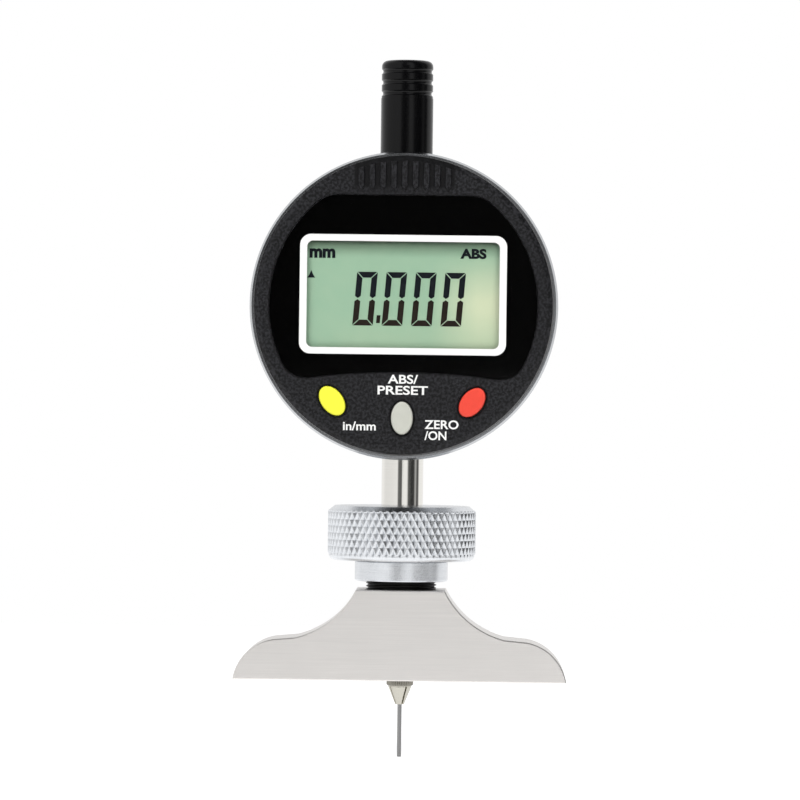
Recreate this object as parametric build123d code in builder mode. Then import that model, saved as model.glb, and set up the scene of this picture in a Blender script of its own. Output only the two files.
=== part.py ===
from build123d import *

import os
from math import cos, radians, sin

# A digital depth gauge. A round electronic indicator is clamped by its stem in a bridge-shaped steel
# base, and a fine measuring pin on the indicator's spindle reaches down through the base.
# Millimetres, +Z up. The origin is the centre of the base's lower face, on the spindle's axis, and the
# dial faces -Y.

os.makedirs("parts", exist_ok=True)

# Depth base
base_length = 63.5
base_depth = 16.0
base_height = 17.2
base_crown = 17.0
flank_radius = 17.5
inner_shoulder_run = 11.85
inner_shoulder_height = 8.05
outer_shoulder_run = 7.55
outer_shoulder_height = 7.65
toe_radius = 9.2
base_edge = 0.2
pin_hole_radius = 3.25

# Gaps on the radius: a sliding shaft, a turning piece, a thread and a loose fit
running_gap = 0.03
turning_gap = 0.04
thread_gap = 0.1
loose_gap = 0.1

# Broken edges of turned pieces
shaft_edge = 0.4
small_edge = 0.2
needle_edge = 0.05

# Stem, spindle and collet
stem_radius = 4.0
stem_lift = 1.3
spindle_radius = 2.0
spindle_foot_z = 3.0
stroke = 15.2
full_stroke_gap = 0.2
lower_bush_length = 10.0
collet_shank_wall = 1.0
collet_shank_length = 11.0
thread_wall = 2.25
finger_length = 5.0
finger_tip_wall = 1.0
slit_width = 0.8
slit_floor = 3.0
stem_bore_wall = 1.0

# Clamp nut
nut_radius = 14.15
nut_height = 10.35
nut_top_bevel = (1.3, 1.2)
nut_foot_bevel = 0.8
nut_mouth_gap = 0.4
nut_land = 1.1
collar_radius = 8.9
collar_lift = 1.6
collar_height = 4.0
collar_bevel = 0.3

# Dial: radii, and the layers of the display half from its front to its back
dial_rise = 52.8
skirt_overhang = 1.0
skirt_draft = 0.3
skirt_wall = 1.4
cover_plate = 2.2
rim_bevel = (0.95, 0.5)
lens_thickness = 1.2
lens_step = 0.05
print_thickness = 0.05
lens_gap = 0.12
lens_border = 2.8
lens_top = 20.8
lens_foot = -12.7
lens_arch_radius = 131.0
lens_top_corner = 6.0
lens_foot_corner = 4.9
window_z = 1.9
window_size = (39.6, 23.2)
panel_margin = 1.2
panel_thickness = 1.5
panel_gap = 0.05
frame_wall = 1.0
frame_corner_gap = 0.6
strip_inset = 1.0
strip_width = 1.8
strip_height = 1.2
strip_edge = 2.0
board_gap = 1.5
board_thickness = 1.0
board_pad = 1.1
board_pad_radius = 1.5
board_pad_inset = 4.6
carrier_thickness = 1.6
friction_ring_thickness = 0.6
friction_ring_slack = 0.02
friction_ring_width = 3.0

# Grip ribs on the cover
rib_count = 9
rib_pitch = 2.05
rib_width = 1.18
rib_height = 0.45
rib_foot_gap = 1.7
rib_point = 0.95
rib_draft = 12.0

# Bezel ring
ring_proud = 0.8
ring_front_proud = 0.4
ring_bevel_depth = 1.1
ring_lip = 2.1
ring_lip_width = 1.1
ring_clearance = 0.2
notch_count = 30
notch_width = 1.3
notch_depth = 0.8
notch_length = 1.4

# Buttons, as the place of the centre on the dial and the tilt of the long axis
button_places = {
    "button_in_mm": (-13.2, -18.2, 38.0),
    "button_preset": (0.0, -21.3, 0.0),
    "button_zero_on": (13.2, -18.2, -38.0),
}
button_radii = (2.05, 3.1)
button_gap = 0.12
button_proud = 0.4
button_edge = 0.35
button_well = 0.45
button_well_depth = 0.5
button_flange = 0.6
button_flange_thickness = 0.7
button_foot_radius = 1.2
button_foot = 0.5
switch_size = 4.0
switch_height = 0.7
plunger_radius = 1.0
plunger_height = 0.45

# Display screws and their bosses in the cover
display_boss_inset = 1.5
display_boss_angles = (55.0, 125.0, 253.0, 287.0)
display_boss_radius = 1.7
display_screw_radius = 0.7
display_screw_length = 3.8
display_head_radius = 1.5
display_head_height = 0.7
display_well_depth = 0.8
display_well_radius = 1.7

# Case, the fixed drum behind the display half
case_radius = 27.5
case_wall = 2.0
case_front_wall = 1.5
case_floor_gap = 0.8
neck_front_wall = 0.3
spigot_radius = 9.0
spigot_bore_radius = 6.0
spigot_reach = 3.05
clip_groove_depth = 0.8
clip_thickness = 0.6
clip_width = 2.4
clip_gap = 0.05
clip_opening = 60.0
neck_wall = 1.0
neck_reach = 0.8
neck_top_reach = 0.4
stem_seat = 1.4
bush_seat = 1.8
seal_thickness = 0.4
seal_width = 1.8
cover_boss_inset = 0.9
cover_boss_radius = 2.4
cover_screw_radius = 0.8
cover_screw_length = 8.0
cover_head_radius = 1.8
cover_head_height = 0.9
screw_slot = (2.4, 0.6, 0.5)
screw_slot_turn = 20.0
screw_clearance = 0.1

# Rear cover, battery pocket and its cap
rear_cover_thickness = 1.5
rear_cover_edge = 0.8
pocket_gap = 0.6
pocket_wall = 1.4
pocket_floor = 0.8
pocket_board_gap = 0.6
cell_gap = 0.05
cell_radius = 10.0
cell_thickness = 3.2
contact_thickness = 0.25
contact_size = (3.0, 8.0)
clip_plate = (0.35, 4.0, 2.4)
tail_size = 1.0
cap_gap = 0.1
cap_thickness = 1.3
lug_reach = 1.1
lug_thickness = 0.6
lug_width = 5.0
lug_gap = 0.05
lug_entry = 1.0
lug_lip = 0.6
coin_slot_inset = 4.0
coin_slot = (1.8, 0.6)

# Upper bush and dust cap
upper_bush_height = 7.0
dust_cap_wall = 1.0
cap_band_step = 0.08
cap_band_height = 7.2
cap_height = 19.16
cap_roof = 1.16
cap_rounding = 1.1
cap_groove_radius = 0.55
cap_groove_depth = 0.27
cap_groove_pitch = 2.1
cap_groove_count = 3

# Scale, carrier and guide
buffer_height = 1.0
buffer_land = 0.6
carrier_wall = 2.0
carrier_block_height = 12.0
carrier_plate_height = 30.0
carrier_front_wall = 1.0
carrier_plate = 1.6
scale_inset = 0.5
scale_thickness = 0.6
arm_wall = 0.5
arm_height = 4.0
arm_front = 2.0
arm_root = 1.0
coil_gap = 2.6
peg_radius = 1.0
peg_overhang = 1.2
spring_foot_rise = 2.3
spring_coil_radius = 1.9
spring_wire = 0.55
spring_eye_gap = 0.05
spring_eye_wire = 0.3
set_screw_radius = 1.0
set_screw_slot = (0.4, 0.5)
guide_pin_radius = 1.0
guide_pin_gap = 0.4
guide_pin_rise = 6.0
set_screw_rise = 9.0
rail_gap = 1.2
rail_width = 4.6
rail_back = 1.2
rail_rise = 1.8
rail_height = 23.0
rail_lip = 2.6
rail_screw_inset = 2.4
rail_screw_rises = (3.5, 10.5)
rail_screw_radius = 0.8
rail_head_radius = 1.5
rail_head_depth = 0.7
rail_screw_length = 3.3

# Boards
sensor_size = (30.0, 21.0, 1.0)
sensor_gap = 0.6
sensor_post = (13.0, 8.0)
sensor_post_radius = 1.8
sensor_screw_radius = 0.6
sensor_screw_length = 3.8
sensor_head_radius = 1.5
sensor_head_height = 0.55
chip_size = (9.0, 9.0, 0.9)
socket_size = (6.0, 2.4, 0.9)
ribbon_width = 5.0
ribbon_thickness = 0.3
ribbon_bend = 0.8
ribbon_inset = 2.7
ribbon_gap = 0.1

# Pin holder and measuring pin
holder_stud_radius = 1.25
holder_stud_length = 5.0
holder_neck_radius = 1.9
holder_ring_radius = 2.5
holder_ring_top_z = 1.0
holder_ring_foot_z = -1.25
holder_tip_radius = 0.85
holder_tip_z = -4.85
pin_radius = 0.42
pin_tip_z = -14.9
pin_seat = 3.0

# Radii, worked out from the sizes above
collet_bore_radius = stem_radius + running_gap
collet_shank_radius = stem_radius + collet_shank_wall
thread_root_radius = stem_radius + thread_wall
finger_tip_radius = stem_radius + finger_tip_wall
stem_bore_radius = stem_radius - stem_bore_wall
buffer_radius = stem_bore_radius + buffer_land
nut_mouth_radius = stem_radius + nut_mouth_gap
neck_radius = stem_radius + neck_wall
cap_outer_radius = stem_radius + dust_cap_wall
cap_band_radius = cap_outer_radius - cap_band_step
cap_groove_x = cap_band_radius - cap_groove_depth + cap_groove_radius
case_inner_radius = case_radius - case_wall
cover_screw_circle = case_inner_radius - cover_boss_inset
skirt_radius = case_radius + skirt_overhang
skirt_inner_radius = skirt_radius - skirt_wall
cover_radius = skirt_radius - skirt_draft
lens_radius = cover_radius - lens_border
ring_radius = skirt_radius + ring_proud
ring_front_radius = skirt_radius + ring_front_proud
ring_lip_radius = skirt_inner_radius - ring_lip_width
board_radius = skirt_inner_radius - board_gap
board_pad_circle = board_radius - board_pad_inset
display_boss_circle = board_radius - display_boss_inset
pocket_radius = cell_radius + pocket_gap
cap_radius = pocket_radius - cap_gap
lug_radius = cap_radius + lug_reach

# Sizes and places across the dial
rib_foot = lens_top + rib_foot_gap
panel_size = (window_size[0] + 2 * panel_margin, window_size[1] + 2 * panel_margin)
frame_size = (panel_size[0] + 2 * frame_wall, panel_size[1] + 2 * frame_wall)
frame_corner_radius = skirt_inner_radius - frame_corner_gap
strip_size = (panel_size[0] - 2 * strip_inset, strip_width)
strip_offset = (panel_size[1] - strip_width) / 2 - strip_edge
carrier_half_width = spindle_radius + carrier_wall
carrier_front = spindle_radius + carrier_front_wall
peg_x = carrier_half_width + spring_coil_radius + coil_gap
arm_reach = peg_x + peg_radius + arm_wall
rail_inner_x = carrier_half_width + rail_gap
rail_outer_x = rail_inner_x + rail_width
rail_screw_x = rail_outer_x - rail_screw_inset
guide_pin_reach = rail_outer_x - rail_back - guide_pin_gap
ribbon_x = sensor_size[0] / 2 - ribbon_inset

# Layers of the dial from the spindle outwards: the display half to the front, the back to the rear
case_floor_y = min(-carrier_front - case_floor_gap, case_front_wall - neck_radius - neck_front_wall)
case_front_y = case_floor_y - case_front_wall
carrier_back_y = case_front_y - friction_ring_thickness
carrier_front_y = carrier_back_y - carrier_thickness
board_back_y = carrier_front_y - board_pad
board_front_y = board_back_y - board_thickness
panel_back_y = board_front_y - strip_height
plate_back_y = panel_back_y - panel_thickness
cover_front_y = plate_back_y - cover_plate
lens_front_y = cover_front_y + lens_step
lens_back_y = lens_front_y + lens_thickness
lens_floor_y = lens_back_y + print_thickness
skirt_end_y = carrier_front_y - ring_lip
ring_tail_y = case_front_y - ring_clearance
spigot_front_y = case_front_y - spigot_reach
clip_back_y = carrier_front_y - clip_gap
scale_back_y = carrier_front + carrier_plate + scale_thickness
sensor_front_y = scale_back_y + sensor_gap
sensor_back_y = sensor_front_y + sensor_size[2]
pocket_floor_y = sensor_back_y + pocket_board_gap
contact_back_y = pocket_floor_y + pocket_floor + contact_thickness
lug_front_y = contact_back_y + cell_thickness + cell_gap
back_y = lug_front_y + cap_thickness
lip_front_y = back_y - lug_lip
cover_inner_y = back_y - rear_cover_thickness
case_rim_y = cover_inner_y - seal_thickness
case_depth = case_rim_y - case_front_y

# Heights along the spindle, worked out from the sizes above
stem_foot_z = base_height + stem_lift
dial_z = stem_foot_z + dial_rise
collar_foot_z = base_height + collar_lift
nut_foot_z = collar_foot_z + collar_height
nut_top_z = nut_foot_z + nut_height
collet_foot_z = base_height - collet_shank_length
collet_top_z = nut_top_z - nut_land - thread_gap
thread_top_z = collet_top_z - finger_length
neck_foot_z = dial_z - case_radius - neck_reach
neck_top_z = dial_z + case_radius + neck_top_reach
stem_top_z = dial_z - case_inner_radius + stem_seat
bush_foot_z = dial_z + case_inner_radius - bush_seat
cap_top_z = neck_top_z + cap_height
cap_roof_z = cap_top_z - cap_roof
spindle_top_z = cap_roof_z - stroke - full_stroke_gap
carrier_foot_z = stem_top_z + buffer_height
peg_z = carrier_foot_z + carrier_plate_height - arm_height / 2
spring_foot_z = carrier_foot_z + spring_foot_rise
scale_size = (2 * (carrier_half_width - scale_inset), carrier_plate_height - 2 * scale_inset)
dial_axis = Axis((0, 0, dial_z), (0, 1, 0))


def dial_plane(y):
    """Plane across the dial's axis at y: local x is +X, local y is +Z, and its normal is -Y."""
    return Plane(origin=(0, y, dial_z), x_dir=(1, 0, 0), z_dir=(0, -1, 0))


def on_circle(radius, angles):
    """Points on a circle, one for each angle in degrees."""
    return [(radius * cos(radians(a)), radius * sin(radians(a))) for a in angles]


display_screw_points = on_circle(display_boss_circle, display_boss_angles)
cover_screw_points = on_circle(cover_screw_circle, (45, 135, 225, 315))
button_points = [place[:2] for place in button_places.values()]
rail_screw_points = [(-rail_screw_x, carrier_foot_z + rise - dial_z) for rise in rail_screw_rises]
sensor_screw_points = [(sx * sensor_post[0], sz * sensor_post[1]) for sx in (-1, 1) for sz in (-1, 1)]


def lens_outline(margin):
    """Outline of the window lens, centred on the dial: a disc with a flat top and an arched foot."""
    with BuildSketch() as outline:
        Circle(lens_radius + margin)
        with Locations((0, lens_top + margin + lens_radius)):
            Rectangle(4 * lens_radius, 2 * lens_radius, mode=Mode.SUBTRACT)
        with Locations((0, lens_foot - margin - lens_arch_radius)):
            Circle(lens_arch_radius, mode=Mode.SUBTRACT)
        fillet(outline.vertices().group_by(Axis.Y)[-1], lens_top_corner + margin)
        fillet(outline.vertices().group_by(Axis.Y)[0], lens_foot_corner + margin)
    return outline.sketch


lens_face = lens_outline(0)
lens_recess = lens_outline(lens_gap)

# Depth base: a bar with arched flanks, bored for the collet's shank and the pin
with BuildPart() as depth_base:
    with BuildSketch(Plane.XZ):
        with BuildLine():
            toe = (base_length / 2, 0)
            outer_shoulder = (base_length / 2 - outer_shoulder_run, outer_shoulder_height)
            inner_shoulder = (base_length / 2 - inner_shoulder_run, inner_shoulder_height)
            crown = (base_crown / 2, base_height)
            Line((0, 0), toe)
            RadiusArc(toe, outer_shoulder, -toe_radius)
            Line(outer_shoulder, inner_shoulder)
            RadiusArc(inner_shoulder, crown, flank_radius)
            Line(crown, (0, base_height))
            mirror(about=Plane.YZ)
        make_face()
    extrude(amount=base_depth / 2, both=True)
    for side in (0, -1):
        chamfer(depth_base.faces().sort_by(Axis.Y)[side].edges(), base_edge)
    with Locations((0, 0, base_height)):
        CounterBoreHole(pin_hole_radius, collet_shank_radius, collet_shank_length)
    chamfer(depth_base.faces().sort_by(Axis.Z)[0].edges().filter_by(GeomType.CIRCLE), 2 * base_edge)
depth_base.part.label = "depth_base"
export_step(depth_base.part, "parts/depth_base.step")

# Collet: a shank in the base, a threaded body and four spring fingers
with BuildPart() as collet:
    with BuildSketch(Plane.XZ):
        with BuildLine():
            Polyline(
                (collet_bore_radius, collet_foot_z),
                (collet_shank_radius, collet_foot_z),
                (collet_shank_radius, base_height),
                (thread_root_radius, base_height),
                (thread_root_radius, thread_top_z),
                (finger_tip_radius, collet_top_z),
                (collet_bore_radius, collet_top_z),
                close=True,
            )
        make_face()
    revolve(axis=Axis.Z)
    with BuildSketch(Plane.XY.offset(base_height + slit_floor)):
        for turn in (0, 90):
            Rectangle(4 * thread_root_radius, slit_width, rotation=turn)
    extrude(amount=collet_top_z - base_height, mode=Mode.SUBTRACT)
collet.part.label = "collet"
export_step(collet.part, "parts/collet.step")

# Clamp nut and collar, one turned piece whose inner cone closes the collet's fingers
with BuildPart() as clamp_nut:
    with BuildSketch(Plane.XZ):
        with BuildLine():
            Polyline(
                (thread_root_radius + thread_gap, collar_foot_z),
                (collar_radius - collar_bevel, collar_foot_z),
                (collar_radius, collar_foot_z + collar_bevel),
                (collar_radius, nut_foot_z),
                (nut_radius - nut_foot_bevel, nut_foot_z),
                (nut_radius, nut_foot_z + nut_foot_bevel),
                (nut_radius, nut_top_z - nut_top_bevel[1]),
                (nut_radius - nut_top_bevel[0], nut_top_z),
                (nut_mouth_radius, nut_top_z),
                (nut_mouth_radius, nut_top_z - nut_land),
                (finger_tip_radius + thread_gap, nut_top_z - nut_land),
                (thread_root_radius + thread_gap, thread_top_z),
                close=True,
            )
        make_face()
    revolve(axis=Axis.Z)
clamp_nut.part.label = "clamp_nut"
export_step(clamp_nut.part, "parts/clamp_nut.step")

# Stem
with BuildPart() as stem:
    with BuildSketch(Plane.XY.offset(stem_foot_z)):
        Circle(stem_radius)
        Circle(stem_bore_radius, mode=Mode.SUBTRACT)
    extrude(amount=stem_top_z - stem_foot_z)
    chamfer(stem.faces().sort_by(Axis.Z)[0].outer_wire().edges(), shaft_edge)
stem.part.label = "stem"
export_step(stem.part, "parts/stem.step")

# Lower bush, pressed into the stem's foot
with BuildPart() as lower_bush:
    with BuildSketch(Plane.XY.offset(stem_foot_z)):
        Circle(stem_bore_radius)
        Circle(spindle_radius + running_gap, mode=Mode.SUBTRACT)
    extrude(amount=lower_bush_length)
lower_bush.part.label = "lower_bush"
export_step(lower_bush.part, "parts/lower_bush.step")

# Upper bush, pressed into the case's top; the dust cap screws onto its upper end
with BuildPart() as upper_bush:
    with BuildSketch(Plane.XY.offset(bush_foot_z)):
        Circle(stem_radius)
        Circle(spindle_radius + running_gap, mode=Mode.SUBTRACT)
    extrude(amount=upper_bush_height)
    chamfer(upper_bush.faces().sort_by(Axis.Z)[-1].outer_wire().edges(), shaft_edge)
upper_bush.part.label = "upper_bush"
export_step(upper_bush.part, "parts/upper_bush.step")

# Dust cap: a deep cap with a rounded crown and three grip grooves
with BuildPart() as dust_cap:
    with BuildSketch(Plane.XY.offset(neck_top_z)):
        Circle(cap_outer_radius)
    extrude(amount=cap_height - cap_band_height)
    with BuildSketch(Plane.XY.offset(cap_top_z - cap_band_height)):
        Circle(cap_band_radius)
    extrude(amount=cap_band_height)
    fillet(dust_cap.faces().sort_by(Axis.Z)[-1].edges(), cap_rounding)
    with BuildSketch(Plane.XY.offset(neck_top_z)):
        Circle(stem_radius + turning_gap)
    extrude(amount=cap_roof_z - neck_top_z, mode=Mode.SUBTRACT)
    with BuildSketch(Plane.XZ):
        for step in range(1, cap_groove_count + 1):
            with Locations((cap_groove_x, cap_top_z - step * cap_groove_pitch)):
                Circle(cap_groove_radius)
    revolve(axis=Axis.Z, mode=Mode.SUBTRACT)
dust_cap.part.label = "dust_cap"
export_step(dust_cap.part, "parts/dust_cap.step")

# Case: a drum with a front wall, a hollow spigot for the display, necks for the stem and the upper
# bush, screw bosses, posts for the sensor board and a peg for the spring
with BuildPart() as case:
    with BuildSketch(dial_plane(case_front_y)):
        Circle(case_radius)
    extrude(amount=-case_depth)
    with BuildSketch(dial_plane(case_floor_y)):
        Circle(case_inner_radius)
    extrude(amount=-case_depth, mode=Mode.SUBTRACT)
    with BuildSketch(dial_plane(case_floor_y)):
        with Locations(*cover_screw_points):
            Circle(cover_boss_radius)
    extrude(amount=case_floor_y - case_rim_y)
    with BuildSketch(dial_plane(case_floor_y)):
        with Locations(*sensor_screw_points):
            Circle(sensor_post_radius)
    extrude(amount=case_floor_y - sensor_front_y)
    with BuildSketch(dial_plane(case_floor_y)):
        with Locations((peg_x, spring_foot_z - dial_z)):
            Circle(peg_radius)
    extrude(amount=case_floor_y - peg_overhang)
    with BuildSketch(dial_plane(case_front_y)):
        Circle(spigot_radius)
    extrude(amount=spigot_reach)
    with BuildSketch(dial_plane(clip_back_y)):
        Circle(spigot_radius)
        Circle(spigot_radius - clip_groove_depth, mode=Mode.SUBTRACT)
    extrude(amount=clip_thickness, mode=Mode.SUBTRACT)
    with BuildSketch(dial_plane(spigot_front_y)):
        Circle(spigot_bore_radius)
    extrude(amount=spigot_front_y - case_floor_y, mode=Mode.SUBTRACT)
    with BuildSketch(Plane.XY.offset(neck_foot_z)):
        Circle(neck_radius)
    extrude(amount=stem_top_z - neck_foot_z)
    with BuildSketch(Plane.XY.offset(bush_foot_z)):
        Circle(neck_radius)
    extrude(amount=neck_top_z - bush_foot_z)
    with BuildSketch(Plane.XY.offset(neck_foot_z)):
        Circle(stem_radius)
    extrude(amount=stem_top_z - neck_foot_z, mode=Mode.SUBTRACT)
    with BuildSketch(Plane.XY.offset(bush_foot_z)):
        Circle(stem_radius)
    extrude(amount=neck_top_z - bush_foot_z, mode=Mode.SUBTRACT)
    with BuildSketch(dial_plane(case_rim_y)):
        with Locations(*cover_screw_points):
            Circle(cover_screw_radius)
    extrude(amount=cover_screw_length, mode=Mode.SUBTRACT)
    with BuildSketch(dial_plane(sensor_front_y)):
        with Locations(*sensor_screw_points):
            Circle(sensor_screw_radius)
    extrude(amount=sensor_screw_length, mode=Mode.SUBTRACT)
    with BuildSketch(dial_plane(case_front_y)):
        with Locations(*rail_screw_points):
            Circle(rail_screw_radius)
    extrude(amount=-case_front_wall, mode=Mode.SUBTRACT)
    with BuildSketch(dial_plane(case_front_y)):
        with Locations(*rail_screw_points):
            Circle(rail_head_radius)
    extrude(amount=-rail_head_depth, mode=Mode.SUBTRACT)
case.part.label = "case"
export_step(case.part, "parts/case.step")

# Buffer ring, which the carrier meets when the spindle is fully out
with BuildPart() as buffer_ring:
    with BuildSketch(Plane.XY.offset(stem_top_z)):
        Circle(buffer_radius)
        Circle(spindle_radius + loose_gap, mode=Mode.SUBTRACT)
    extrude(amount=buffer_height)
buffer_ring.part.label = "buffer_ring"
export_step(buffer_ring.part, "parts/buffer_ring.step")

# Spindle
with BuildPart() as spindle:
    with BuildSketch(Plane.XY.offset(spindle_foot_z)):
        Circle(spindle_radius)
    extrude(amount=spindle_top_z - spindle_foot_z)
    chamfer(spindle.faces().sort_by(Axis.Z)[-1].edges(), shaft_edge)
    with BuildSketch(Plane.XY.offset(spindle_foot_z)):
        Circle(holder_stud_radius)
    extrude(amount=holder_stud_length + loose_gap, mode=Mode.SUBTRACT)
spindle.part.label = "spindle"
export_step(spindle.part, "parts/spindle.step")

# Scale carrier: a block on the spindle, a plate for the scale and an arm with the spring's upper peg
with BuildPart() as scale_carrier:
    with BuildSketch(Plane.XY.offset(carrier_foot_z)):
        Rectangle(2 * carrier_half_width, 2 * carrier_front)
        Circle(spindle_radius, mode=Mode.SUBTRACT)
    extrude(amount=carrier_block_height)
    with BuildSketch(Plane.XY.offset(carrier_foot_z)):
        with Locations((0, carrier_front + carrier_plate / 2)):
            Rectangle(2 * carrier_half_width, carrier_plate)
    extrude(amount=carrier_plate_height)
    with BuildSketch(Plane.XY.offset(peg_z - arm_height / 2)):
        with Locations((carrier_half_width, arm_front)):
            Rectangle(
                arm_reach - carrier_half_width,
                carrier_front + carrier_plate - arm_front,
                align=(Align.MIN, Align.MIN),
            )
        with Locations((carrier_half_width, carrier_front)):
            Rectangle(arm_root, carrier_plate, align=(Align.MAX, Align.MIN))
    extrude(amount=arm_height)
    with BuildSketch(dial_plane(arm_front)):
        with Locations((peg_x, peg_z - dial_z)):
            Circle(peg_radius)
    extrude(amount=arm_front + peg_overhang)
    with BuildSketch(Plane.YZ.offset(carrier_half_width)):
        with Locations((0, carrier_foot_z + set_screw_rise)):
            Circle(set_screw_radius)
    extrude(amount=-carrier_half_width, mode=Mode.SUBTRACT)
    with BuildSketch(Plane.YZ.offset(-carrier_half_width)):
        with Locations((0, carrier_foot_z + guide_pin_rise)):
            Circle(guide_pin_radius)
    extrude(amount=carrier_half_width, mode=Mode.SUBTRACT)
scale_carrier.part.label = "scale_carrier"
export_step(scale_carrier.part, "parts/scale_carrier.step")

# Set screw, with a slot, which locks the carrier to the spindle
with BuildPart() as carrier_screw:
    with BuildSketch(Plane.YZ.offset(spindle_radius)):
        with Locations((0, carrier_foot_z + set_screw_rise)):
            Circle(set_screw_radius)
    extrude(amount=carrier_half_width - spindle_radius)
    with BuildSketch(Plane.YZ.offset(carrier_half_width)):
        with Locations((0, carrier_foot_z + set_screw_rise)):
            Rectangle(2 * set_screw_radius, set_screw_slot[0])
    extrude(amount=-set_screw_slot[1], mode=Mode.SUBTRACT)
carrier_screw.part.label = "carrier_screw"
export_step(carrier_screw.part, "parts/carrier_screw.step")

# Guide pin, which runs in the rail and keeps the spindle from turning
with BuildPart() as guide_pin:
    with BuildSketch(Plane.YZ.offset(-guide_pin_reach)):
        with Locations((0, carrier_foot_z + guide_pin_rise)):
            Circle(guide_pin_radius)
    extrude(amount=guide_pin_reach - spindle_radius)
    chamfer(guide_pin.faces().sort_by(Axis.X)[0].edges(), small_edge)
guide_pin.part.label = "guide_pin"
export_step(guide_pin.part, "parts/guide_pin.step")

# Scale strip on the carrier's plate
with BuildPart() as scale_strip:
    with BuildSketch(dial_plane(carrier_front + carrier_plate)):
        with Locations((0, carrier_foot_z + carrier_plate_height / 2 - dial_z)):
            Rectangle(*scale_size)
    extrude(amount=-scale_thickness)
scale_strip.part.label = "scale_strip"
export_step(scale_strip.part, "parts/scale_strip.step")

# Guide rail: a channel open towards the spindle
with BuildPart() as guide_rail:
    with BuildSketch(Plane.XY.offset(carrier_foot_z + rail_rise)):
        with BuildLine():
            slot_half = guide_pin_radius + turning_gap
            Polyline(
                (-rail_inner_x, case_floor_y),
                (-rail_inner_x, -slot_half),
                (-rail_outer_x + rail_back, -slot_half),
                (-rail_outer_x + rail_back, slot_half),
                (-rail_inner_x, slot_half),
                (-rail_inner_x, rail_lip),
                (-rail_outer_x, rail_lip),
                (-rail_outer_x, case_floor_y),
                close=True,
            )
        make_face()
    extrude(amount=rail_height)
    with BuildSketch(dial_plane(case_floor_y)):
        with Locations(*rail_screw_points):
            Circle(rail_screw_radius)
    extrude(amount=-(rail_screw_length - case_front_wall), mode=Mode.SUBTRACT)
guide_rail.part.label = "guide_rail"
export_step(guide_rail.part, "parts/guide_rail.step")

# Rail screws, with heads sunk into the case's front wall
with BuildPart() as rail_screws:
    with BuildSketch(dial_plane(case_front_y)):
        with Locations(*rail_screw_points):
            Circle(rail_head_radius)
    extrude(amount=-rail_head_depth)
    with BuildSketch(dial_plane(case_front_y + rail_head_depth)):
        with Locations(*rail_screw_points):
            Circle(rail_screw_radius)
    extrude(amount=-(rail_screw_length - rail_head_depth))
rail_screws.part.label = "rail_screws"
export_step(rail_screws.part, "parts/rail_screws.step")

# Return spring: a coil seen as a sleeve, with an eye at each end around its peg
with BuildPart() as return_spring:
    eye_radius = peg_radius + spring_eye_gap + spring_eye_wire
    coil_foot_z = spring_foot_z + eye_radius
    coil_height = peg_z - spring_foot_z - 2 * eye_radius
    with BuildSketch(Plane.XY.offset(coil_foot_z)):
        with Locations((peg_x, 0)):
            Circle(spring_coil_radius)
    extrude(amount=coil_height)
    with BuildSketch(Plane.XY.offset(coil_foot_z + spring_wire)):
        with Locations((peg_x, 0)):
            Circle(spring_coil_radius - spring_wire)
    extrude(amount=coil_height - 2 * spring_wire, mode=Mode.SUBTRACT)
    for eye_z in (spring_foot_z, peg_z):
        with Locations(Plane(origin=(peg_x, 0, eye_z), z_dir=(0, -1, 0))):
            Torus(eye_radius, spring_eye_wire)
return_spring.part.label = "return_spring"
export_step(return_spring.part, "parts/return_spring.step")

# Sensor board and its screws
with BuildPart() as sensor_board:
    with BuildSketch(dial_plane(sensor_front_y)):
        Rectangle(sensor_size[0], sensor_size[1])
        with Locations(*sensor_screw_points):
            Circle(sensor_screw_radius, mode=Mode.SUBTRACT)
    extrude(amount=-sensor_size[2])
sensor_board.part.label = "sensor_board"
export_step(sensor_board.part, "parts/sensor_board.step")

with BuildPart() as sensor_screws:
    with BuildSketch(dial_plane(sensor_back_y)):
        with Locations(*sensor_screw_points):
            Circle(sensor_head_radius)
    extrude(amount=-sensor_head_height)
    with BuildSketch(dial_plane(sensor_back_y)):
        with Locations(*sensor_screw_points):
            Circle(sensor_screw_radius)
    extrude(amount=sensor_size[2] + sensor_screw_length)
sensor_screws.part.label = "sensor_screws"
export_step(sensor_screws.part, "parts/sensor_screws.step")

# Ribbon cable: out of the display through the spigot, along the case's front wall, then back to the
# sensor board
with BuildPart() as ribbon_cable:
    with BuildSketch(Plane.XY.offset(dial_z - ribbon_width / 2)):
        with BuildLine():
            ribbon_run_y = case_floor_y + ribbon_thickness
            FilletPolyline(
                (0, board_back_y + socket_size[2] + ribbon_gap),
                (0, ribbon_run_y),
                (ribbon_x, ribbon_run_y),
                (ribbon_x, sensor_front_y),
                radius=ribbon_bend,
            )
        trace(line_width=ribbon_thickness)
    extrude(amount=ribbon_width)
ribbon_cable.part.label = "ribbon_cable"
export_step(ribbon_cable.part, "parts/ribbon_cable.step")

# Retaining ring, an open clip in the spigot's groove
with BuildPart() as retaining_ring:
    with BuildSketch(dial_plane(clip_back_y)):
        clip_inner = spigot_radius - clip_groove_depth
        Circle(clip_inner + clip_width)
        Circle(clip_inner, mode=Mode.SUBTRACT)
        with BuildLine():
            spread = 2 * clip_inner
            left, right = on_circle(spread, (270 - clip_opening / 2, 270 + clip_opening / 2))
            Polyline((0, 0), left, right, close=True)
        make_face(mode=Mode.SUBTRACT)
    extrude(amount=clip_thickness)
retaining_ring.part.label = "retaining_ring"
export_step(retaining_ring.part, "parts/retaining_ring.step")

# Friction ring between the case and the display
with BuildPart() as friction_ring:
    with BuildSketch(dial_plane(case_front_y)):
        Circle(spigot_radius + loose_gap + friction_ring_width)
        Circle(spigot_radius + loose_gap, mode=Mode.SUBTRACT)
    extrude(amount=friction_ring_thickness - friction_ring_slack)
friction_ring.part.label = "friction_ring"
export_step(friction_ring.part, "parts/friction_ring.step")

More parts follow.
